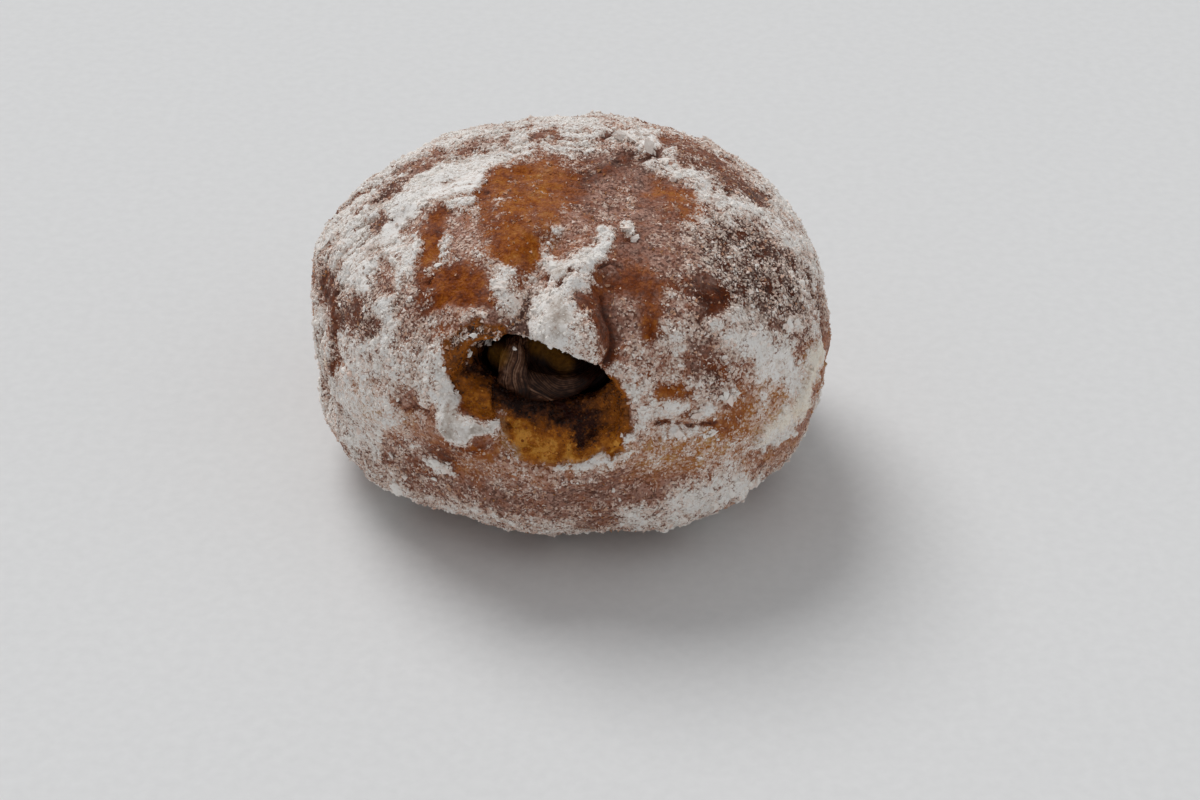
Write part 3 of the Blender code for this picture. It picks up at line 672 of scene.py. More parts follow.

# %% [markdown]
# Relief comes from moving vertices along their normals, which is real geometry and not only shading: cakes
# of sugar stand a third of a millimetre proud, their tops are softly lumpy, and a few named patches stand
# higher. Wrinkles and creases are cut in, and torn crumb is ragged with pits. Nothing moves where the
# doughnut rests. The skin's vertices then get all that was painted on them, as numbers that the material
# reads. One says how high the sugar stands there, and the material paints its tops whiter than its dips and
# its wrinkles, which is painted shade; it is also whiter on the pale belt, which is painted light, and
# greyer in blotches where the sugar was pressed near the mouth.

# %% Relief of the skin
CAKE_THICKNESS = 0.36
LUMPS = ((2.8, 0.42), (1.4, 0.26))
SKIN_GRAIN = (1.9, 0.06)
WRINKLE_DEPTH = 0.5
CREASE_DEPTH = 0.42
PROUD_PATCHES = {
    "pale ring": 0.5, "L-shaped patch": 0.3, "tongue of sugar": 0.3,
    "tongue, wide part": 0.3, "lump by the tongue": 0.4, "shoulder streak": 0.2,
    "flakes at the lower left": 0.4, "white flake line": 0.3, "cream chip": 0.5, "white chips": 0.4,
    "crown lump, left": 0.5, "crown lump, right": 0.5, "lump above the tongue": 0.5,
}
PROUD_EDGE = 0.9
PROUD_LUMP = 1.8
CRUMB_LUMPS = (3.0, 0.6)
CRUMB_PITS = (1.4, 0.28)
DEEP_INSIDE = (9, 12)
PIT_SHADE = 0.16
DEEP_SHADE = 0.3
DEEP_SHADE_DEPTHS = (3, 9)
RAISED_MIDDLE = 0.6
RAISED_SPAN = 1.3
PRESSED_LUMP = 2.2
PRESSED_DIP = 0.4
NEAR_MOUTH = (34, 50)
FOLDS_FROM = (45, 65)
CAKED = (0.5, 0.85)
LUMPY = (0.15, 0.8)
RESTING = (0.05, 0.8)
PIT_SEEN = (0.12, 0.4)
CREAMY_BELOW = 0.2
CREAMY_RISE = 4
MOST_CREAMY = 0.8
WRINKLE_SHADE = 0.3

cake = ease(sugar, *CAKED)
relief = CAKE_THICKNESS * cake
for k, (size, rise) in enumerate(LUMPS):
    softened = 1 - PRESSING_TAKES["lumps"] * pressed
    relief += rise * ease(sugar, *LUMPY) * softened * lumps(skin, size, 16 + k)
relief += SKIN_GRAIN[1] * (1 - cake) * lumps(skin, SKIN_GRAIN[0], 18)
relief -= WRINKLE_DEPTH * wrinkles + CREASE_DEPTH * crease
proud = np.zeros(len(skin))
lumpy = 1 + lumps(skin, PROUD_LUMP, 27)
for name, rise in PROUD_PATCHES.items():
    radius, route = SUGAR_STROKES[name][2:]
    proud += rise * stroke_cover(places, radius, route, PROUD_EDGE) * seen * lumpy
relief += proud
pits = np.abs(lumps(skin, CRUMB_PITS[0], 20))
relief += torn * CRUMB_LUMPS[1] * lumps(skin, CRUMB_LUMPS[0], 19)
relief -= torn * CRUMB_PITS[1] * pits
relief *= ease(skin[:, 2], *RESTING) * (1 - ease(depth, *DEEP_INSIDE))
move_vertices(crust, skin + skin_out * relief[:, None])
print("relief from", round(relief.min(), 2), "to", round(relief.max(), 2), "mm")

# Painted shade: the torn dough is darker in its pits and deeper inside the mouth.
pit_shade = torn * ease(pits, *PIT_SEEN)
torn_brown = torn_brown + PIT_SHADE * pit_shade + DEEP_SHADE * ease(depth, *DEEP_SHADE_DEPTHS)
cream_share = np.clip(CREAMY_RISE * (CREAMY_BELOW - brown), 0, MOST_CREAMY) * (1 - torn)
# Painted light and shade: sugar tops whiter than dips and wrinkles, and the pale belt whiter.
painted_light_by_height = RAISED_MIDDLE + (relief - proud) / RAISED_SPAN - WRINKLE_SHADE * wrinkles + cream_share
near_mouth = 1 - ease(from_mouth, *NEAR_MOUTH)
painted_light_by_height += pressed * near_mouth * (PRESSED_DIP * lumps(skin, PRESSED_LUMP, 26) - PRESSED_DIP)
folds = ease(from_mouth, *FOLDS_FROM) * left_or_top * (1 - torn)
painted = {
    "sugar": sugar, "film": film, "brown": brown, "torn": torn, "torn_brown": torn_brown,
    "chocolate": chocolate, "warm": cream_share, "pressed": pressed, "painted_light_by_height": painted_light_by_height, "folds": folds,
}
for name, values in painted.items():
    store(crust.data, name, np.clip(values, 0, 1))
layer = crust.data.attributes.new("ring", "FLOAT_VECTOR", "POINT")
layer.data.foreach_set("vector", ring.astype(np.float32).ravel())

# %% [markdown]
# Grains of sugar will be spread on this skin, so its triangles, places and directions are kept as they are
# now. Then the mesh is thinned: flat places need fewer faces than ragged ones, and it is thinned to under
# two hundred thousand triangles.

# %% Keep the skin for the grains, and thin its mesh
MOST_TRIANGLES = 196000

crust.data.calc_loop_triangles()
corners = np.zeros(len(crust.data.loop_triangles) * 3, np.int32)
crust.data.loop_triangles.foreach_get("vertices", corners)
corners = corners.reshape(-1, 3)
shaped = vertex_values(crust, "co") / MM
shaped_out = vertex_values(crust, "normal")
first, second, third = shaped[corners.T]
areas = np.linalg.norm(np.cross(second - first, third - first), axis=1) / 2
apply_modifier(crust, "DECIMATE", ratio=min(1, MOST_TRIANGLES / len(corners)))
print("crust thinned to", triangle_count(crust), "triangles")

# %% [markdown]
# Materials are made of nodes. One small function adds a node with its settings and links, and one turns a
# colour as a painter writes it, in sRGB hex, into the linear numbers that a shader works with. The kinds of
# node and the settings that come back often get short names.

# %% Helpers for materials
NOISE = "ShaderNodeTexNoise"
CELLS = "ShaderNodeTexVoronoi"
MATH = "ShaderNodeMath"
RANGE = "ShaderNodeMapRange"
MIX = "ShaderNodeMix"
RAMP = "ShaderNodeValToRGB"
STORED = "ShaderNodeAttribute"
PLACE = "ShaderNodeTexCoord"
BUMP = "ShaderNodeBump"
COLOURS = {"take": 2, "data_type": "RGBA"}
SCALE_ADD = {"operation": "MULTIPLY_ADD"}
SOFT = {"interpolation_type": "SMOOTHSTEP"}


def colour(code):
    """A linear colour from an sRGB hex code."""
    parts = [int(code[k:k + 2], 16) / 255 for k in (1, 3, 5)]
    return tuple(p / 12.92 if p <= 0.04045 else ((p + 0.055) / 1.055) ** 2.4 for p in parts) + (1.0,)


def connect(tree, node, inputs):
    """Gives a node its inputs, each a value or a link from another node."""
    for socket, value in inputs.items():
        if isinstance(value, bpy.types.NodeSocket):
            tree.links.new(value, node.inputs[socket])
        else:
            node.inputs[socket].default_value = value


def add(tree, kind, inputs, take=0, stops=(), **settings):
    """Adds one node with its settings and links, and a ramp's stops, and gives the output to take."""
    node = tree.nodes.new(kind)
    for setting, value in settings.items():
        setattr(node, setting, value)
    connect(tree, node, inputs)
    for k, (position, code) in enumerate(stops):
        elements = node.color_ramp.elements
        element = elements[k] if k < 2 else elements.new(position)
        element.position = position
        element.color = colour(code)
    return node.outputs[take]


def material(name):
    """A new material with its node tree and its Principled shader."""
    made = bpy.data.materials.new(name)
    made.use_nodes = True
    return made, made.node_tree, made.node_tree.nodes["Principled BSDF"]


print("a middle grey, #808080, is", round(colour("#808080")[0], 3), "in linear numbers")

# %% [markdown]
# Fried dough under powdered sugar. The crust's brown comes from sugars burnt in hot fat, so it is dark and
# saturated, and it shines only a little. Its patterns are noises with lumps of a known size. The first code
# cell makes those noises and the crust's own colour, for the browned skin and for the torn crumb.

# %% The crust's own colour
CRUST_NOISES = {"fine": (0.45, 1.5, 0.6), "clump": (1.3, 2.5, 0.6), "mottle": (3.2, 4.0, 0.65)}
NOISE_MIDDLE = {"From Min": 0.3, "From Max": 0.7}
BROWNED_STOPS = (
    (0.0, "#DCCFBC"), (0.2, "#C7985F"), (0.36, "#B06A22"), (0.5, "#9A500A"),
    (0.64, "#7A3603"), (0.8, "#572409"), (0.95, "#3A1C12"),
)
CRUMB_STOPS = (
    (0.0, "#E8A348"), (0.16, "#C87C2A"), (0.38, "#A65E1C"),
    (0.6, "#844C1E"), (0.82, "#542E1A"), (1.0, "#24120C"),
)
SKIN_TONES = {
    "brown": ({"mottle": 0.26, "clump": 0.26, "fine": 0.14}, 0.33, BROWNED_STOPS),
    "torn_brown": ({"clump": 0.36, "mottle": 0.34, "fine": 0.16}, 0.49, CRUMB_STOPS),
}
CHOCOLATE_SMEAR = "#361913"
SMEAR_SHOWN = {"From Min": 0.45, "From Max": 0.95}

sugared, tree, shader = material("fried dough under powdered sugar")
place = add(tree, PLACE, {}, take="Object")
noises = {}
for name, (size, detail, roughness) in CRUST_NOISES.items():
    settings = {"Vector": place, "Scale": 1 / (size * MM), "Detail": detail, "Roughness": roughness}
    noises[name] = add(tree, RANGE, {"Value": add(tree, NOISE, settings), **NOISE_MIDDLE})
stored = {}
for name in painted:
    stored[name] = add(tree, STORED, {}, take="Fac", attribute_name=name)

own_colour = {}
for painted_name, (swings, shift, stops) in SKIN_TONES.items():
    tone = stored[painted_name]
    for name, swing in swings.items():
        tone = add(tree, MATH, {0: noises[name], 1: swing, 2: tone}, **SCALE_ADD)
    tone = add(tree, MATH, {0: tone, 1: shift}, operation="SUBTRACT")
    own_colour[painted_name] = add(tree, RAMP, {0: tone}, stops=stops)
skin_or_crumb = {0: stored["torn"], 6: own_colour["brown"], 7: own_colour["torn_brown"]}
bare = add(tree, MIX, skin_or_crumb, **COLOURS)
smear = add(tree, MATH, {0: noises["fine"], 1: 0.5, 2: stored["chocolate"]}, **SCALE_ADD)
smear = add(tree, RANGE, {"Value": smear, **SMEAR_SHOWN}, **SOFT)
bare = add(tree, MIX, {0: smear, 6: bare, 7: colour(CHOCOLATE_SMEAR)}, **COLOURS)
print("the crust's own colour:", len(tree.nodes), "nodes")

# %% [markdown]
# Powdered sugar is ground to a twentieth of a millimetre and scatters all light, so it is matt and nearly
# white. A thin film of it only turns the brown to mauve. More of it sticks together in grains, each with its
# own tone, because some have drawn fat; each grain is also paler in its middle than at its edge, which is
# painted shade. The grains are cells of two sizes, 0.7 and 0.36 millimetres wide, coarser than the powder,
# because finer ones would not show. A cell's chance is added to the sugar painted there, so few cells show
# where there is little and few gaps stay where there is much. The fine cells make the film uneven too, and
# those with the least chance get a dark colour between the grains, which is painted shade. Thin folds of the
# crust, which run round the mouth, carry less.

# %% The film and the grains of sugar
FILM_COLOUR = "#C89D8C"
GAP_SHADE_COLOUR = "#2E1D18"
GRAIN_COLOUR = "#EED8C8"
PATCHES = {"mottle": 0.18, "clump": 0.22}
GRAIN_KINDS = {"coarse": (0.7, 0.3), "fine": (0.36, 0.45)}
GRAIN_EDGE = 0.2
MEAN_DISTANCE = 0.4
FOLD = {"Scale": 1.2, "Detail": 3.0, "Roughness": 0.6}
FOLD_LINE = {"From Max": 0.03, "To Min": 1.0, "To Max": 0.0}
LESS_ON_FOLDS = -0.25
HAZE = 0.28
HAZE_SWING = 0.5
GAP_SHADE_RANGE = {"From Min": 0.4, "From Max": 0.15, "To Max": 0.46}
GRAINS_SHOWN = {"From Min": 0.36, "From Max": 0.95}

round_mouth = add(tree, STORED, {}, take="Vector", attribute_name="ring")
fold = add(tree, NOISE, {"Vector": round_mouth, **FOLD})
fold = add(tree, MATH, {0: fold, 1: 0.5}, operation="SUBTRACT")
fold = add(tree, MATH, {0: fold}, operation="ABSOLUTE")
fold = add(tree, RANGE, {"Value": fold, **FOLD_LINE})
fold = add(tree, MATH, {0: fold, 1: stored["folds"]}, operation="MULTIPLY")

amount = stored["sugar"]
middle = 0
for name, swing in PATCHES.items():
    amount = add(tree, MATH, {0: noises[name], 1: swing, 2: amount}, **SCALE_ADD)
    middle += swing / 2
chances = {}
for kind, (width, swing) in GRAIN_KINDS.items():
    distance = add(tree, CELLS, {"Vector": place, "Scale": 1 / (width * MM)})
    own = {0: distance.node.outputs["Color"]}
    chances[kind] = add(tree, "ShaderNodeSeparateColor", own, take="Red")
    amount = add(tree, MATH, {0: chances[kind], 1: swing, 2: amount}, **SCALE_ADD)
    # Painted shade: the amount falls towards each cell's edge, so a grain is paler in its middle.
    amount = add(tree, MATH, {0: distance, 1: -GRAIN_EDGE, 2: amount}, **SCALE_ADD)
    middle += swing / 2 - MEAN_DISTANCE * GRAIN_EDGE
amount = add(tree, MATH, {0: fold, 1: LESS_ON_FOLDS, 2: amount}, **SCALE_ADD)
amount = add(tree, MATH, {0: amount, 1: middle}, operation="SUBTRACT")

haze = add(tree, MATH, {0: noises["mottle"], 1: HAZE_SWING, 2: HAZE}, **SCALE_ADD)
haze = add(tree, MATH, {0: haze, 1: stored["film"]}, operation="MULTIPLY")
uneven = add(tree, MATH, {0: chances["fine"], 1: 0.5}, operation="ADD")
haze = add(tree, MATH, {0: haze, 1: uneven}, operation="MULTIPLY")
hazed = add(tree, MIX, {0: haze, 6: bare, 7: colour(FILM_COLOUR)}, **COLOURS)
# Painted shade: a dark colour between the grains, where the fine cells have the least chance.
gap = add(tree, RANGE, {"Value": chances["fine"], **GAP_SHADE_RANGE})
gap = add(tree, MATH, {0: gap, 1: stored["film"]}, operation="MULTIPLY")
hazed = add(tree, MIX, {0: gap, 6: hazed, 7: colour(GAP_SHADE_COLOUR)}, **COLOURS)
grains = add(tree, RANGE, {"Value": amount, **GRAINS_SHOWN}, **SOFT)
specked = add(tree, MIX, {0: grains, 6: hazed, 7: colour(GRAIN_COLOUR)}, **COLOURS)
print("with the film and the grains:", len(tree.nodes), "nodes")

# %% [markdown]
# Where sugar is thick, it hides the crust altogether. Its colour is painted whitest on the lumps and greyer
# in the dips between them, in the wrinkles and on the folds, which is painted shade. It is greyer in
# blotches where it was pressed near the mouth, and creamy on the pale belt, where it is also whiter as
# painted light.

# %% The thick sugar, and the shader
POWDER_AND_SHADE_STOPS = ((0.1, "#A3968C"), (0.36, "#CBC1B8"), (0.56, "#E5DED8"), (0.85, "#F8F4F0"))
CREAMY = "#FFF3DF"
SPECK_SHARE = 0.45
THICK_SHOWN = {"From Min": 0.66, "From Max": 0.94}
FOLD_SHADE = -0.4
MOIST = {"To Min": 0.48, "To Max": 0.27}
MATT = 0.95
BLISTER = {"Scale": 1 / (0.7 * MM), "Detail": 3.0}
FINE_HEIGHT = 0.35
BUMP_SHARE = 0.9
PRESSED_SMOOTHER = -0.7
BUMP_HEIGHT = 0.22 * MM
CRUST_SHINE = 0.1

thick = add(tree, MATH, {0: stored["sugar"], 1: 1 - SPECK_SHARE}, operation="MULTIPLY")
thick = add(tree, MATH, {0: amount, 1: SPECK_SHARE, 2: thick}, **SCALE_ADD)
thick = add(tree, RANGE, {"Value": thick, **THICK_SHOWN}, **SOFT)
own_tone = add(tree, MATH, {0: amount, 1: stored["sugar"]}, operation="SUBTRACT")
# Painted shade and light: the height number makes tops whiter and dips greyer.
powder_and_shade_tone = add(tree, MATH, {0: own_tone, 1: SPECK_SHARE, 2: stored["painted_light_by_height"]}, **SCALE_ADD)
# Painted shade: thick sugar is greyer on the folds that run round the mouth.
powder_and_shade_tone = add(tree, MATH, {0: fold, 1: FOLD_SHADE, 2: powder_and_shade_tone}, **SCALE_ADD)
powder = add(tree, RAMP, {0: powder_and_shade_tone}, stops=POWDER_AND_SHADE_STOPS)
powder = add(tree, MIX, {0: stored["warm"], 6: powder, 7: colour(CREAMY)}, **COLOURS)
final = add(tree, MIX, {0: thick, 6: specked, 7: powder}, **COLOURS)

covered = add(tree, MATH, {0: grains, 1: thick}, operation="MAXIMUM")
moist = add(tree, RANGE, {"Value": stored["torn"], **MOIST})
matt = add(tree, RANGE, {"Value": covered, "To Min": moist, "To Max": MATT})
blister = add(tree, NOISE, {"Vector": place, **BLISTER})
height = add(tree, MATH, {0: amount, 1: blister}, operation="ADD")
height = add(tree, MATH, {0: noises["fine"], 1: FINE_HEIGHT, 2: height}, **SCALE_ADD)
uneven = add(tree, MATH, {0: stored["pressed"], 1: PRESSED_SMOOTHER, 2: BUMP_SHARE}, **SCALE_ADD)
bump = add(tree, BUMP, {"Height": height, "Strength": uneven, "Distance": BUMP_HEIGHT})
connect(tree, shader, {
    "Base Color": final, "Roughness": matt, "Normal": bump, "Specular IOR Level": CRUST_SHINE,
})
crust.data.materials.append(sugared)
crust.data.shade_smooth()
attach(crust, "root")
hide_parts("dough")
print("crust's material:", len(tree.nodes), "nodes")

# %% [markdown]
# The cream is a copy of its solid, remeshed finer still. Cream that is squeezed through a nozzle and dragged
# keeps fine strands along its flow. So each vertex gets a number that says where it lies across the flow:
# equal numbers make one strand. They run down the hanging column, and bend in nested arcs in the bowl beside
# it. The column's foot spreads a little to the left.

# %% The cream's mesh
CREAM_VOXEL = 0.26 * MM
COLUMN_TOP = 335
COLUMN_FOOT = 388
COLUMN_MIDDLE = (519.5, 514.0)
COLUMN_HALF_WIDTH = (9.5, 15.0)
COLUMN_WIDTH = 4.2
BOWL_MIDDLE = (566, 350)
MM_PER_PIXEL = 0.172
BEHIND = 10.0
FOOT = (502, 386)
FOOT_SPREAD = 1.1
FOOT_RADIUS = 8.0
STRAND_WANDER = 0.8
STRAND_BEND = 3.5
STRAND_WIDTH = 0.62
STRAND_DEPTH = 0.2
ALONG_STRAND = 0.08
CREAM_LUMP = 1.6
CREAM_UNEVEN = 0.1
SHOWS_BEYOND = (30, 32)
LEFT_OF_COLUMN = (-0.2, 1)


def across_column(places):
    """Where places in the picture lie across the hanging column: -1 at its left edge, 1 at its right."""
    share = np.clip((places[:, 1] - COLUMN_TOP) / (COLUMN_FOOT - COLUMN_TOP), 0, 1)
    middle = COLUMN_MIDDLE[0] + share * (COLUMN_MIDDLE[1] - COLUMN_MIDDLE[0])
    half = COLUMN_HALF_WIDTH[0] + share * (COLUMN_HALF_WIDTH[1] - COLUMN_HALF_WIDTH[0])
    return (places[:, 0] - middle) / half


def across_flow(places):
    """How far places lie across the flow, in millimetres: straight in the column, in arcs in the bowl."""
    column = across_column(places)
    arcs = np.linalg.norm(places - BOWL_MIDDLE, axis=1) * MM_PER_PIXEL
    return np.where(column < 1, column * COLUMN_WIDTH / 2, arcs + BEHIND)


cream, soft, soft_out = fine_copy("filling", "cream", CREAM_VOXEL, 2)
soft_place = mouth_axes(soft)
cream_places = in_picture(soft)
strand = across_flow(cream_places) + STRAND_WANDER * lumps(soft, STRAND_BEND, 21)
in_front = ease(soft_place[:, 2], *SHOWS_BEYOND)
along = ALONG_STRAND * soft_place[:, 0]
strand_line = np.column_stack((strand / STRAND_WIDTH, np.zeros(len(soft)), along))
shape = STRAND_DEPTH * lumps(strand_line, 1.0, 24) * in_front
shape += CREAM_UNEVEN * lumps(soft, CREAM_LUMP, 22) * in_front
at_foot = bell(np.linalg.norm(cream_places - FOOT, axis=1) / FOOT_RADIUS) * in_front
at_foot *= FOOT_SPREAD * ease(-across_column(cream_places), *LEFT_OF_COLUMN)
move_vertices(cream, soft + soft_out * shape[:, None] - MOUTH_RIGHT * at_foot[:, None])
print("cream:", len(soft), "vertices,", triangle_count(cream), "triangles")

# %% [markdown]
# The ribbon's middle strands, where they catch the light, are painted paler, which is a painted highlight.
# Its outer edges, the bowl behind it and the part that lies low keep the cream's own colour, almost black.
# Up behind the brow the wall of the mouth shows, where soaked dough comes through the cream.

# %% The cream's painted highlights, and the soaked dough
STRAND_HIGHLIGHTS = {
    "column": (0.68, 9, ((519, 338), (517, 360), (514, 374))),
    "left edge of the column": (0.95, 2.5, ((510, 338), (508, 352), (501, 370))),
    "foot of the column": (0.6, 9, ((510, 376), (516, 380))),
    "arcs in the bowl": (0.3, 9, ((538, 376), (550, 384), (568, 382))),
    "drawn out to the right": (0.7, 1.6, ((528, 386), (540, 397), (556, 402))),
}
SOAKED_DOUGH = {
    "wall behind the brow": (0.85, 9, ((538, 345), (552, 352), (564, 364))),
    "wall left of the column": (0.9, 10, ((482, 350), (498, 356))),
}
store(cream.data, "strand", strand)
store(cream.data, "pale", most_cover(cream_places, STRAND_HIGHLIGHTS))
store(cream.data, "soaked", most_cover(cream_places, SOAKED_DOUGH))
print("strands from", round(strand.min(), 1), "to", round(strand.max(), 1), "mm across the flow")

# %% [markdown]
# Chocolate hazelnut cream is cocoa and sugar in soft fat. It is dark brown, and its wet fat gives a soft
# gloss with small bright highlights, which the strands stretch into lines.

# %% The cream's material
FINE_STRAND = 0.26
CREAM_DARK = ((0.25, "#170A06"), (0.8, "#2E170D"))
CREAM_HIGHLIGHT = ((0.25, "#371D10"), (0.55, "#66412B"), (0.85, "#98745E"))
SOAKED_STOPS = ((0.2, "#573610"), (0.8, "#9E6E28"))
CRUMBLY = {"Scale": 1 / (0.8 * MM), "Detail": 3.0}
CRUMBLY_SHARE = 0.6
STRANDS_SHOWN = {"From Min": 0.6, "From Max": 1.0}
CREAM_GLOSS = {"To Min": 0.3, "To Max": 0.48}
CRUMBLY_HEIGHT = 0.4
CREAM_BUMP = {"Strength": 0.6, "Distance": 0.14 * MM}
FAT_IOR = 1.46
CREAM_SHINE = 0.16

chocolate_cream, tree, shader = material("chocolate cream")
place = add(tree, PLACE, {}, take="Object")
across = add(tree, STORED, {}, take="Fac", attribute_name="strand")
across = add(tree, MATH, {0: across, 1: 1 / FINE_STRAND}, operation="MULTIPLY")
strands = add(tree, NOISE, {"W": across, "Scale": 1.0, "Detail": 2.0}, noise_dimensions="1D")
crumbly = add(tree, NOISE, {"Vector": place, **CRUMBLY})
strands = add(tree, MATH, {0: crumbly, 1: CRUMBLY_SHARE, 2: strands}, **SCALE_ADD)
strands = add(tree, RANGE, {"Value": strands, **STRANDS_SHOWN})
own = add(tree, RAMP, {0: strands}, stops=CREAM_DARK)
# Painted highlight: the paler colour on the strands that catch the light.
light = add(tree, RAMP, {0: strands}, stops=CREAM_HIGHLIGHT)
soaked = add(tree, RAMP, {0: crumbly}, stops=SOAKED_STOPS)
for name, over in (("pale", light), ("soaked", soaked)):
    share = add(tree, STORED, {}, take="Fac", attribute_name=name)
    own = add(tree, MIX, {0: share, 6: own, 7: over}, **COLOURS)
gloss = add(tree, RANGE, {"Value": strands, **CREAM_GLOSS})
height = add(tree, MATH, {0: crumbly, 1: CRUMBLY_HEIGHT, 2: strands}, **SCALE_ADD)
bump = add(tree, BUMP, {"Height": height, **CREAM_BUMP})
connect(tree, shader, {
    "Base Color": own, "Roughness": gloss, "Normal": bump, "IOR": FAT_IOR, "Specular IOR Level": CREAM_SHINE,
})
cream.data.materials.append(chocolate_cream)
cream.data.shade_smooth()
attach(cream, "root")
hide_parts("filling")
print("cream's material:", len(tree.nodes), "nodes")

# %% [markdown]
# Sugar that has caked breaks into crumbs, and torn dough sheds crumbs too. They are modelled as real grains:
# one small primitive is made and dented, then thousands of copies are spread by a seeded draw. Each kind is
# one joined piece. A copy has few faces, because there are so many of it. No copy reaches below the floor.

# %% Helpers that spread grains
def dented(primitive, dents, seed, **settings):
    """The points and triangles of a dented primitive, as a pattern for copies."""
    bpy.ops.object.select_all(action="DESELECT")
    primitive(**settings)
    shape = bpy.context.object
    points = np.array([vertex.co for vertex in shape.data.vertices])
    faces = np.array([face.vertices for face in shape.data.polygons])
    bpy.data.objects.remove(shape)
    points *= 1 + dents * np.random.default_rng(seed).uniform(-1, 1, (len(points), 1))
    return points, faces


def random_turns(draw, count):
    """Random rotation matrices."""
    q = draw.normal(size=(count, 4))
    w, x, y, z = (q / np.linalg.norm(q, axis=1)[:, None]).T
    return np.stack((
        np.stack((1 - 2 * (y * y + z * z), 2 * (x * y - z * w), 2 * (x * z + y * w)), -1),
        np.stack((2 * (x * y + z * w), 1 - 2 * (x * x + z * z), 2 * (y * z - x * w)), -1),
        np.stack((2 * (x * z - y * w), 2 * (y * z + x * w), 1 - 2 * (x * x + y * y)), -1),
    ), -2)


def lying_turns(out, spin):
    """Rotation matrices that lay a copy flat on the skin, spun about the skin's outward direction."""
    level = np.cross(out, (0.0, 0.0, 1.0))
    level /= np.linalg.norm(level, axis=1)[:, None]
    other = np.cross(out, level)
    cosine = np.cos(spin)[:, None]
    sine = np.sin(spin)[:, None]
    return np.stack((cosine * level + sine * other, cosine * other - sine * level, out), -1)


def spread(draw, count, wanted, *tints):
    """Random places on the crust, thickly where wanted is high, and the skin's direction and tints there."""
    weight = areas * wanted[corners].mean(1)
    chosen = corners[draw.choice(len(corners), count, p=weight / weight.sum())]
    a, b = draw.uniform(size=(2, count))
    over = a + b > 1
    a[over] = 1 - a[over]
    b[over] = 1 - b[over]
    shares = np.stack((1 - a - b, a, b), -1)
    where = (shaped[chosen] * shares[..., None]).sum(1)
    out = (shaped_out[chosen] * shares[..., None]).sum(1)
    out /= np.linalg.norm(out, axis=1)[:, None]
    return where, out, *((tint[chosen] * shares).sum(1) for tint in tints)


def joined_copies(name, pattern, where, turns, sizes, values, finish):
    """One piece of many copies of a pattern, each with its own place, turn, size and stored values."""
    points, faces = pattern
    copies = np.einsum("kij,kpj->kpi", turns, points * sizes[:, None, :]) + where[:, None, :]
    copies[..., 2] = np.maximum(copies[..., 2], 0)
    first = np.arange(len(where)) * len(points)
    mesh = bpy.data.meshes.new(name)
    all_faces = (faces[None] + first[:, None, None]).reshape(-1, faces.shape[1])
    mesh.from_pydata((copies.reshape(-1, 3) * MM).tolist(), [], all_faces.tolist())
    for value_name, value in values.items():
        store(mesh, value_name, np.repeat(value, len(points)))
    mesh.materials.append(finish)
    piece = bpy.data.objects.new(name, mesh)
    bpy.context.scene.collection.objects.link(piece)
    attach(piece, "root")
    print(name + ":", len(where), "copies,", len(all_faces), "triangles")


print("skin to spread them on:", round(areas.sum() / 100), "square centimetres")

# %% [markdown]
# Powdered sugar in the lump is matt and nearly white. Grains that lie alone have drawn fat from the crust
# and turned rosy or golden, and those in thick sugar stay white, so each copy stores how clean it is. On the
# pale belt they are a little creamy.

# %% The grains' material
LONE_STOPS = ((0.0, "#AE7446"), (0.3, "#D0A68C"), (0.6, "#E7CFC2"), (1.0, "#F7F2EC"))
GRAIN_UNEVEN = {"Scale": 1 / (0.9 * MM), "Detail": 2.0}
TONE_SWING = 0.3
SUGAR_SHINE = 0.2

powdered, tree, shader = material("powdered sugar")
place = add(tree, PLACE, {}, take="Object")
clean = add(tree, STORED, {}, take="Fac", attribute_name="clean")
uneven = add(tree, NOISE, {"Vector": place, **GRAIN_UNEVEN})
clean = add(tree, MATH, {0: uneven, 1: TONE_SWING, 2: clean}, **SCALE_ADD)
clean = add(tree, MATH, {0: clean, 1: TONE_SWING / 2}, operation="SUBTRACT")
white = add(tree, RAMP, {0: clean}, stops=LONE_STOPS)
share = add(tree, STORED, {}, take="Fac", attribute_name="warm")
cream_white = add(tree, MIX, {0: share, 6: white, 7: colour(CREAMY)}, **COLOURS)
connect(tree, shader, {"Base Color": cream_white, "Roughness": MATT, "Specular IOR Level": SUGAR_SHINE})
print("powdered sugar:", len(tree.nodes), "nodes")

# %% [markdown]
# Four kinds of sugar grain are spread over the crust, by how much sugar was painted there: crystals on the
# specked places and dust wherever sugar lies, both sharp splinters of four faces, rounder grains where it
# gathers, and clumps only in the thick sugar. Each kind has its pattern, its count, its radius, the sugar
# from which it starts and to which it grows, how much rarer it is in thick sugar, and its seed. Grains sink
# in by almost a third of their radius, as grains that stick do. Powder is finer than can be shown, so these
# stand for its small lumps, most of them from a quarter to three quarters of a millimetre wide.

# %% Spread the sugar's grains
CONE = bpy.ops.mesh.primitive_cone_add
BALL = bpy.ops.mesh.primitive_ico_sphere_add
SPLINTER = {"vertices": 3, "radius1": 1, "radius2": 0, "depth": 1.5}
GRAINS = {
    "sugar_crystals": (CONE, SPLINTER, 34000, 0.27, (0.05, 0.55), 0.95, 9),
    "sugar_dust": (CONE, SPLINTER, 49000, 0.18, (0.35, 0.85), 0.3, 3),
    "sugar_grains": (BALL, {"subdivisions": 1}, 9900, 0.21, (0.4, 0.95), 0.2, 5),
    "sugar_clumps": (BALL, {"subdivisions": 2}, 1500, 0.36, (0.75, 0.95), 0.0, 7),
}
SUNK = 0.3
DENTS = 0.25
SIZE_SPREAD = 0.3
UNEVEN_SIDES = (0.7, 1.3)
LARGEST = 2.0
THICK = (0.7, 0.9)
GRAINS_ABOVE = 0.3
OWN_LIGHTNESS = (-0.45, 0.15)
LIGHTER_BY_SUGAR = 1.15
LIGHTER_BY_BROWNING = 0.2

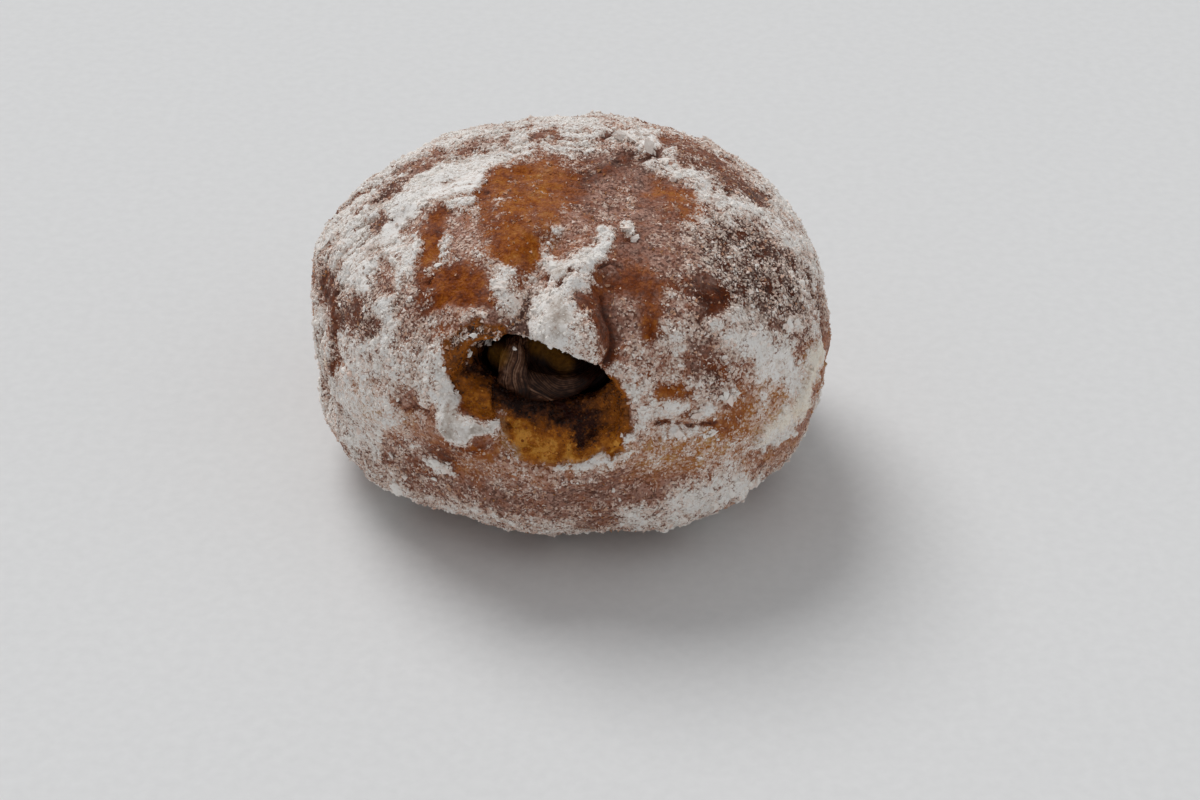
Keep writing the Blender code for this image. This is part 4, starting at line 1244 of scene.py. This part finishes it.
lightness = LIGHTER_BY_SUGAR * sugar + LIGHTER_BY_BROWNING * brown
for name, (primitive, settings, count, radius, starts, rarer, seed) in GRAINS.items():
    draw = np.random.default_rng(seed)
    wanted = ease(sugar, *starts) * (1 - rarer * ease(sugar, *THICK))
    wanted *= shaped[:, 2] > GRAINS_ABOVE
    wanted *= 1 - PRESSING_TAKES["grains"] * pressed
    where, out, clean, warm = spread(draw, count, wanted, lightness, cream_share)
    sizes = radius * draw.lognormal(0, SIZE_SPREAD, (count, 1)) * draw.uniform(*UNEVEN_SIDES, (count, 3))
    sizes = np.minimum(sizes, radius * LARGEST)
    where -= out * sizes.mean(1)[:, None] * SUNK
    clean = np.clip(clean + draw.uniform(*OWN_LIGHTNESS, count), 0, 1)
    pattern = dented(primitive, DENTS, seed, **settings)
    values = {"warm": warm, "clean": clean}
    joined_copies(name, pattern, where, random_turns(draw, count), sizes, values, powdered)

# %% [markdown]
# Flakes are bits of a sugar crust that cracked off and lie or stand on the skin. The largest have their own
# places in the picture: the skin's point that shows there is looked up. Each is given by its place, its
# radius in millimetres, its width as a share of its length, and its turn in degrees. Smaller bits lie beside
# each large one, a few hundred are spread, and one white dot sits on the cream's column.

# %% Flakes of sugar
FLAKES = {
    "top, left": (618, 134, 1.4, 0.7, 20),
    "top, middle": (632, 137, 1.5, 0.8, 70),
    "top, right": (650, 146, 1.5, 0.8, 140),
    "by the diagonal band": (664, 160, 1.4, 0.8, 30),
    "tongue": (626, 228, 1.5, 0.8, 100),
    "tongue, low": (634, 238, 1.2, 0.7, 50),
    "cream chip": (731, 398, 1.6, 0.8, 10),
    "white chip": (696, 416, 1.2, 0.8, 80),
    "pink chip": (679, 434, 1.3, 0.8, 120),
    "second pink chip": (712, 434, 1.3, 0.7, 60),
    "right edge flake": (790, 326, 1.7, 0.5, 100),
    "lower left, first": (433, 462, 1.2, 0.7, 30),
    "lower left, second": (445, 469, 1.5, 0.6, 10),
    "lower left, third": (435, 480, 0.8, 0.8, 60),
    "lower left, far": (390, 455, 0.9, 0.7, 0),
    "left fold": (437, 264, 1.0, 0.5, 60),
    "valley, left": (500, 284, 1.5, 0.8, 50),
    "valley, right": (545, 296, 1.3, 0.7, 120),
    "valley, lump": (515, 300, 1.1, 0.9, 0),
    "left corner bit": (474, 336, 0.8, 0.7, 30),
    "second corner bit": (486, 343, 0.8, 0.6, 80),
    "hanging clump": (398, 488, 1.6, 0.8, 10),
    "fringe, first": (684, 519, 1.0, 0.8, 0),
    "fringe, second": (757, 484, 1.2, 0.6, 20),
    "fringe, third": (716, 506, 1.2, 0.7, 70),
    "bright dot, low": (613, 490, 0.5, 1.0, 0),
    "second bright dot": (621, 500, 0.36, 1.0, 0),
    "dot on the lip": (622, 436, 0.4, 1.0, 0),
}
DOT_ON_THE_COLUMN = (514, 348)
DOT_SIZES = (0.5, 0.36, 0.3)
FLAKE_THICKNESS = 0.3
FLAKE_DENTS = 0.4
FLAKE_TILT = 0.4
FLAKE_LIFT = 0.12
SPREAD_FLAKES = 420
LARGE_FLAKE = 1
BITS_BESIDE = 8
BITS_REACH = 2.4
BIT_SIZES = (0.25, 0.5)
BIT_WIDTHS = (0.6, 1)
MAIN_BIT = 0.9
NEAR_PIXELS = 2.0
FLAKED = (0.55, 0.85)
FLAKES_ABOVE = 1.5
SPREAD_RADII = (0.3, 0.7)
SPREAD_WIDTHS = (0.5, 0.9)
FLAKE_LIGHTNESS = (0.75, 1.05)

shaped_places = in_picture(shaped)


def shown_at(across, down, points, points_shown):
    """The number of the point that shows at a place in the picture."""
    miss = np.linalg.norm(points_shown - (across, down), axis=1)
    near = np.flatnonzero(miss < max(NEAR_PIXELS, miss.min() + 0.1))
    return near[np.argmax(points[near] @ np.array(back))]


draw = np.random.default_rng(11)
places_wanted = []
for across, down, radius, share, angle in FLAKES.values():
    places_wanted.append((across, down, radius * MAIN_BIT, share, math.radians(angle)))
    for _ in range(BITS_BESIDE if radius > LARGE_FLAKE else 0):
        nudged = np.array((across, down)) + draw.normal(0, BITS_REACH * radius, 2)
        bit = radius * draw.uniform(*BIT_SIZES)
        places_wanted.append((*nudged, bit, draw.uniform(*BIT_WIDTHS), draw.uniform(0, math.pi)))
named = np.array([shown_at(*wanted[:2], shaped, shaped_places) for wanted in places_wanted])
dot = shown_at(*DOT_ON_THE_COLUMN, soft, cream_places)
wanted = ease(sugar, *FLAKED) * (1 - PRESSING_TAKES["flakes"] * pressed) * (shaped[:, 2] > FLAKES_ABOVE)
where, out, warm = spread(draw, SPREAD_FLAKES, wanted, cream_share)
where = np.vstack((shaped[named], where, soft[dot]))
out = np.vstack((shaped_out[named], out, soft_out[dot]))
warm = np.concatenate((cream_share[named], warm, [0]))
radii, stretch, spin = np.array(places_wanted)[:, 2:].T
radii = np.append(radii, draw.uniform(*SPREAD_RADII, SPREAD_FLAKES))
stretch = np.append(stretch, draw.uniform(*SPREAD_WIDTHS, SPREAD_FLAKES))
spin = np.append(spin, draw.uniform(0, math.pi, SPREAD_FLAKES + 1))
sizes = np.stack((radii, radii * stretch, np.minimum(FLAKE_THICKNESS, radii)), -1)
sizes = np.vstack((sizes, DOT_SIZES))
out += draw.normal(0, FLAKE_TILT, out.shape)
out /= np.linalg.norm(out, axis=1)[:, None]
where += out * FLAKE_LIFT
pattern = dented(BALL, FLAKE_DENTS, 12, subdivisions=1)
values = {"warm": warm, "clean": draw.uniform(*FLAKE_LIGHTNESS, len(where))}
joined_copies("sugar_flakes", pattern, where, lying_turns(out, spin), sizes, values, powdered)

# %% [markdown]
# The torn dough's crumb is open and ragged: small golden crumbs stand up from it and catch the light. They
# take their tone from the torn dough under them, a little lighter or darker by chance.

# %% Crumbs of torn dough
CRUMBS = 1300
CRUMB_RADIUS = 0.19
CRUMB_DENTS = 0.3
CRUMB_UNEVEN = {"Scale": 1 / (0.5 * MM), "Detail": 2.0}
CRUMB_ROUGHNESS = 0.42
CRUMB_SHINE = 0.25
CRUMBS_FROM = 20
SHALLOW = (6, 9)
FEWER_ON_SMEARS = 0.6
UNEVEN_CRUMB = (0.6, 1.4)
OWN_TONE = 0.15

crumbs, tree, shader = material("torn crumb of dough")
tone = add(tree, STORED, {}, take="Fac", attribute_name="tone")
place = add(tree, PLACE, {}, take="Object")
uneven = add(tree, NOISE, {"Vector": place, **CRUMB_UNEVEN})
tone = add(tree, MATH, {0: uneven, 1: TONE_SWING, 2: tone}, **SCALE_ADD)
tone = add(tree, MATH, {0: tone, 1: TONE_SWING / 2}, operation="SUBTRACT")
golden = add(tree, RAMP, {0: tone}, stops=CRUMB_STOPS)
connect(tree, shader, {
    "Base Color": golden, "Roughness": CRUMB_ROUGHNESS, "Specular IOR Level": CRUMB_SHINE,
})

draw = np.random.default_rng(17)
wanted = torn * (1 - ease(depth, *SHALLOW)) * (mouth_place[:, 2] > CRUMBS_FROM)
wanted *= 1 - FEWER_ON_SMEARS * smeared
where, out, tone = spread(draw, CRUMBS, wanted, torn_brown)
sizes = CRUMB_RADIUS * draw.lognormal(0, SIZE_SPREAD, (CRUMBS, 1))
sizes = sizes * draw.uniform(*UNEVEN_CRUMB, (CRUMBS, 3))
where -= out * sizes.mean(1)[:, None] * SUNK
pattern = dented(BALL, CRUMB_DENTS, 18, subdivisions=1)
values = {"tone": np.clip(tone + draw.normal(0, OWN_TONE, CRUMBS), 0, 1)}
joined_copies("torn_crumbs", pattern, where, random_turns(draw, CRUMBS), sizes, values, crumbs)

# %% [markdown]
# The setting is a plain pale floor and soft studio light: a large lamp above and behind, which rounds the
# top and drops a soft shadow to the front, a weak one at the right, and an even pale surround.

# %% Floor and light
FLOOR_SIZE = 6.0
LAMPS = {
    "soft lamp above": (Vector((-0.45, 0.64, 1.0)), 32, 1.68),
    "soft fill at the right": (Vector((0.9, -0.3, 0.45)), 70, 0.2),
}
SURROUND = 0.41
SURROUND_COLOUR = "#F4F6F8"
FLOOR_STOPS = ((0.3, "#E2E2E2"), (0.7, "#E6E6E6"))
FIBRE = 2.0 * MM
PAPER_ROUGHNESS = 0.8

bpy.ops.object.select_all(action="DESELECT")
bpy.ops.mesh.primitive_plane_add(size=FLOOR_SIZE)
floor = bpy.context.object
floor.name = "floor"
paper, tree, shader = material("pale paper")
place = add(tree, PLACE, {}, take="Object")
fibre = add(tree, NOISE, {"Vector": place, "Scale": 1 / FIBRE})
grey = add(tree, RAMP, {0: fibre}, stops=FLOOR_STOPS)
connect(tree, shader, {"Base Color": grey, "Roughness": PAPER_ROUGHNESS})
floor.data.materials.append(paper)

for name, (direction, spread_degrees, strength) in LAMPS.items():
    lamp_data = bpy.data.lights.new(name, "SUN")
    lamp_data.angle = math.radians(spread_degrees)
    lamp_data.energy = strength
    lamp = bpy.data.objects.new(name, lamp_data)
    lamp.rotation_euler = direction.to_track_quat("Z", "Y").to_euler()
    bpy.context.scene.collection.objects.link(lamp)

surround = bpy.data.worlds.new("surround")
surround.use_nodes = True
background = surround.node_tree.nodes["Background"]
connect(surround.node_tree, background, {"Color": colour(SURROUND_COLOUR), "Strength": SURROUND})
bpy.context.scene.world = surround
bpy.context.scene.view_settings.view_transform = "Standard"
print("lamps:", ", ".join(LAMPS))
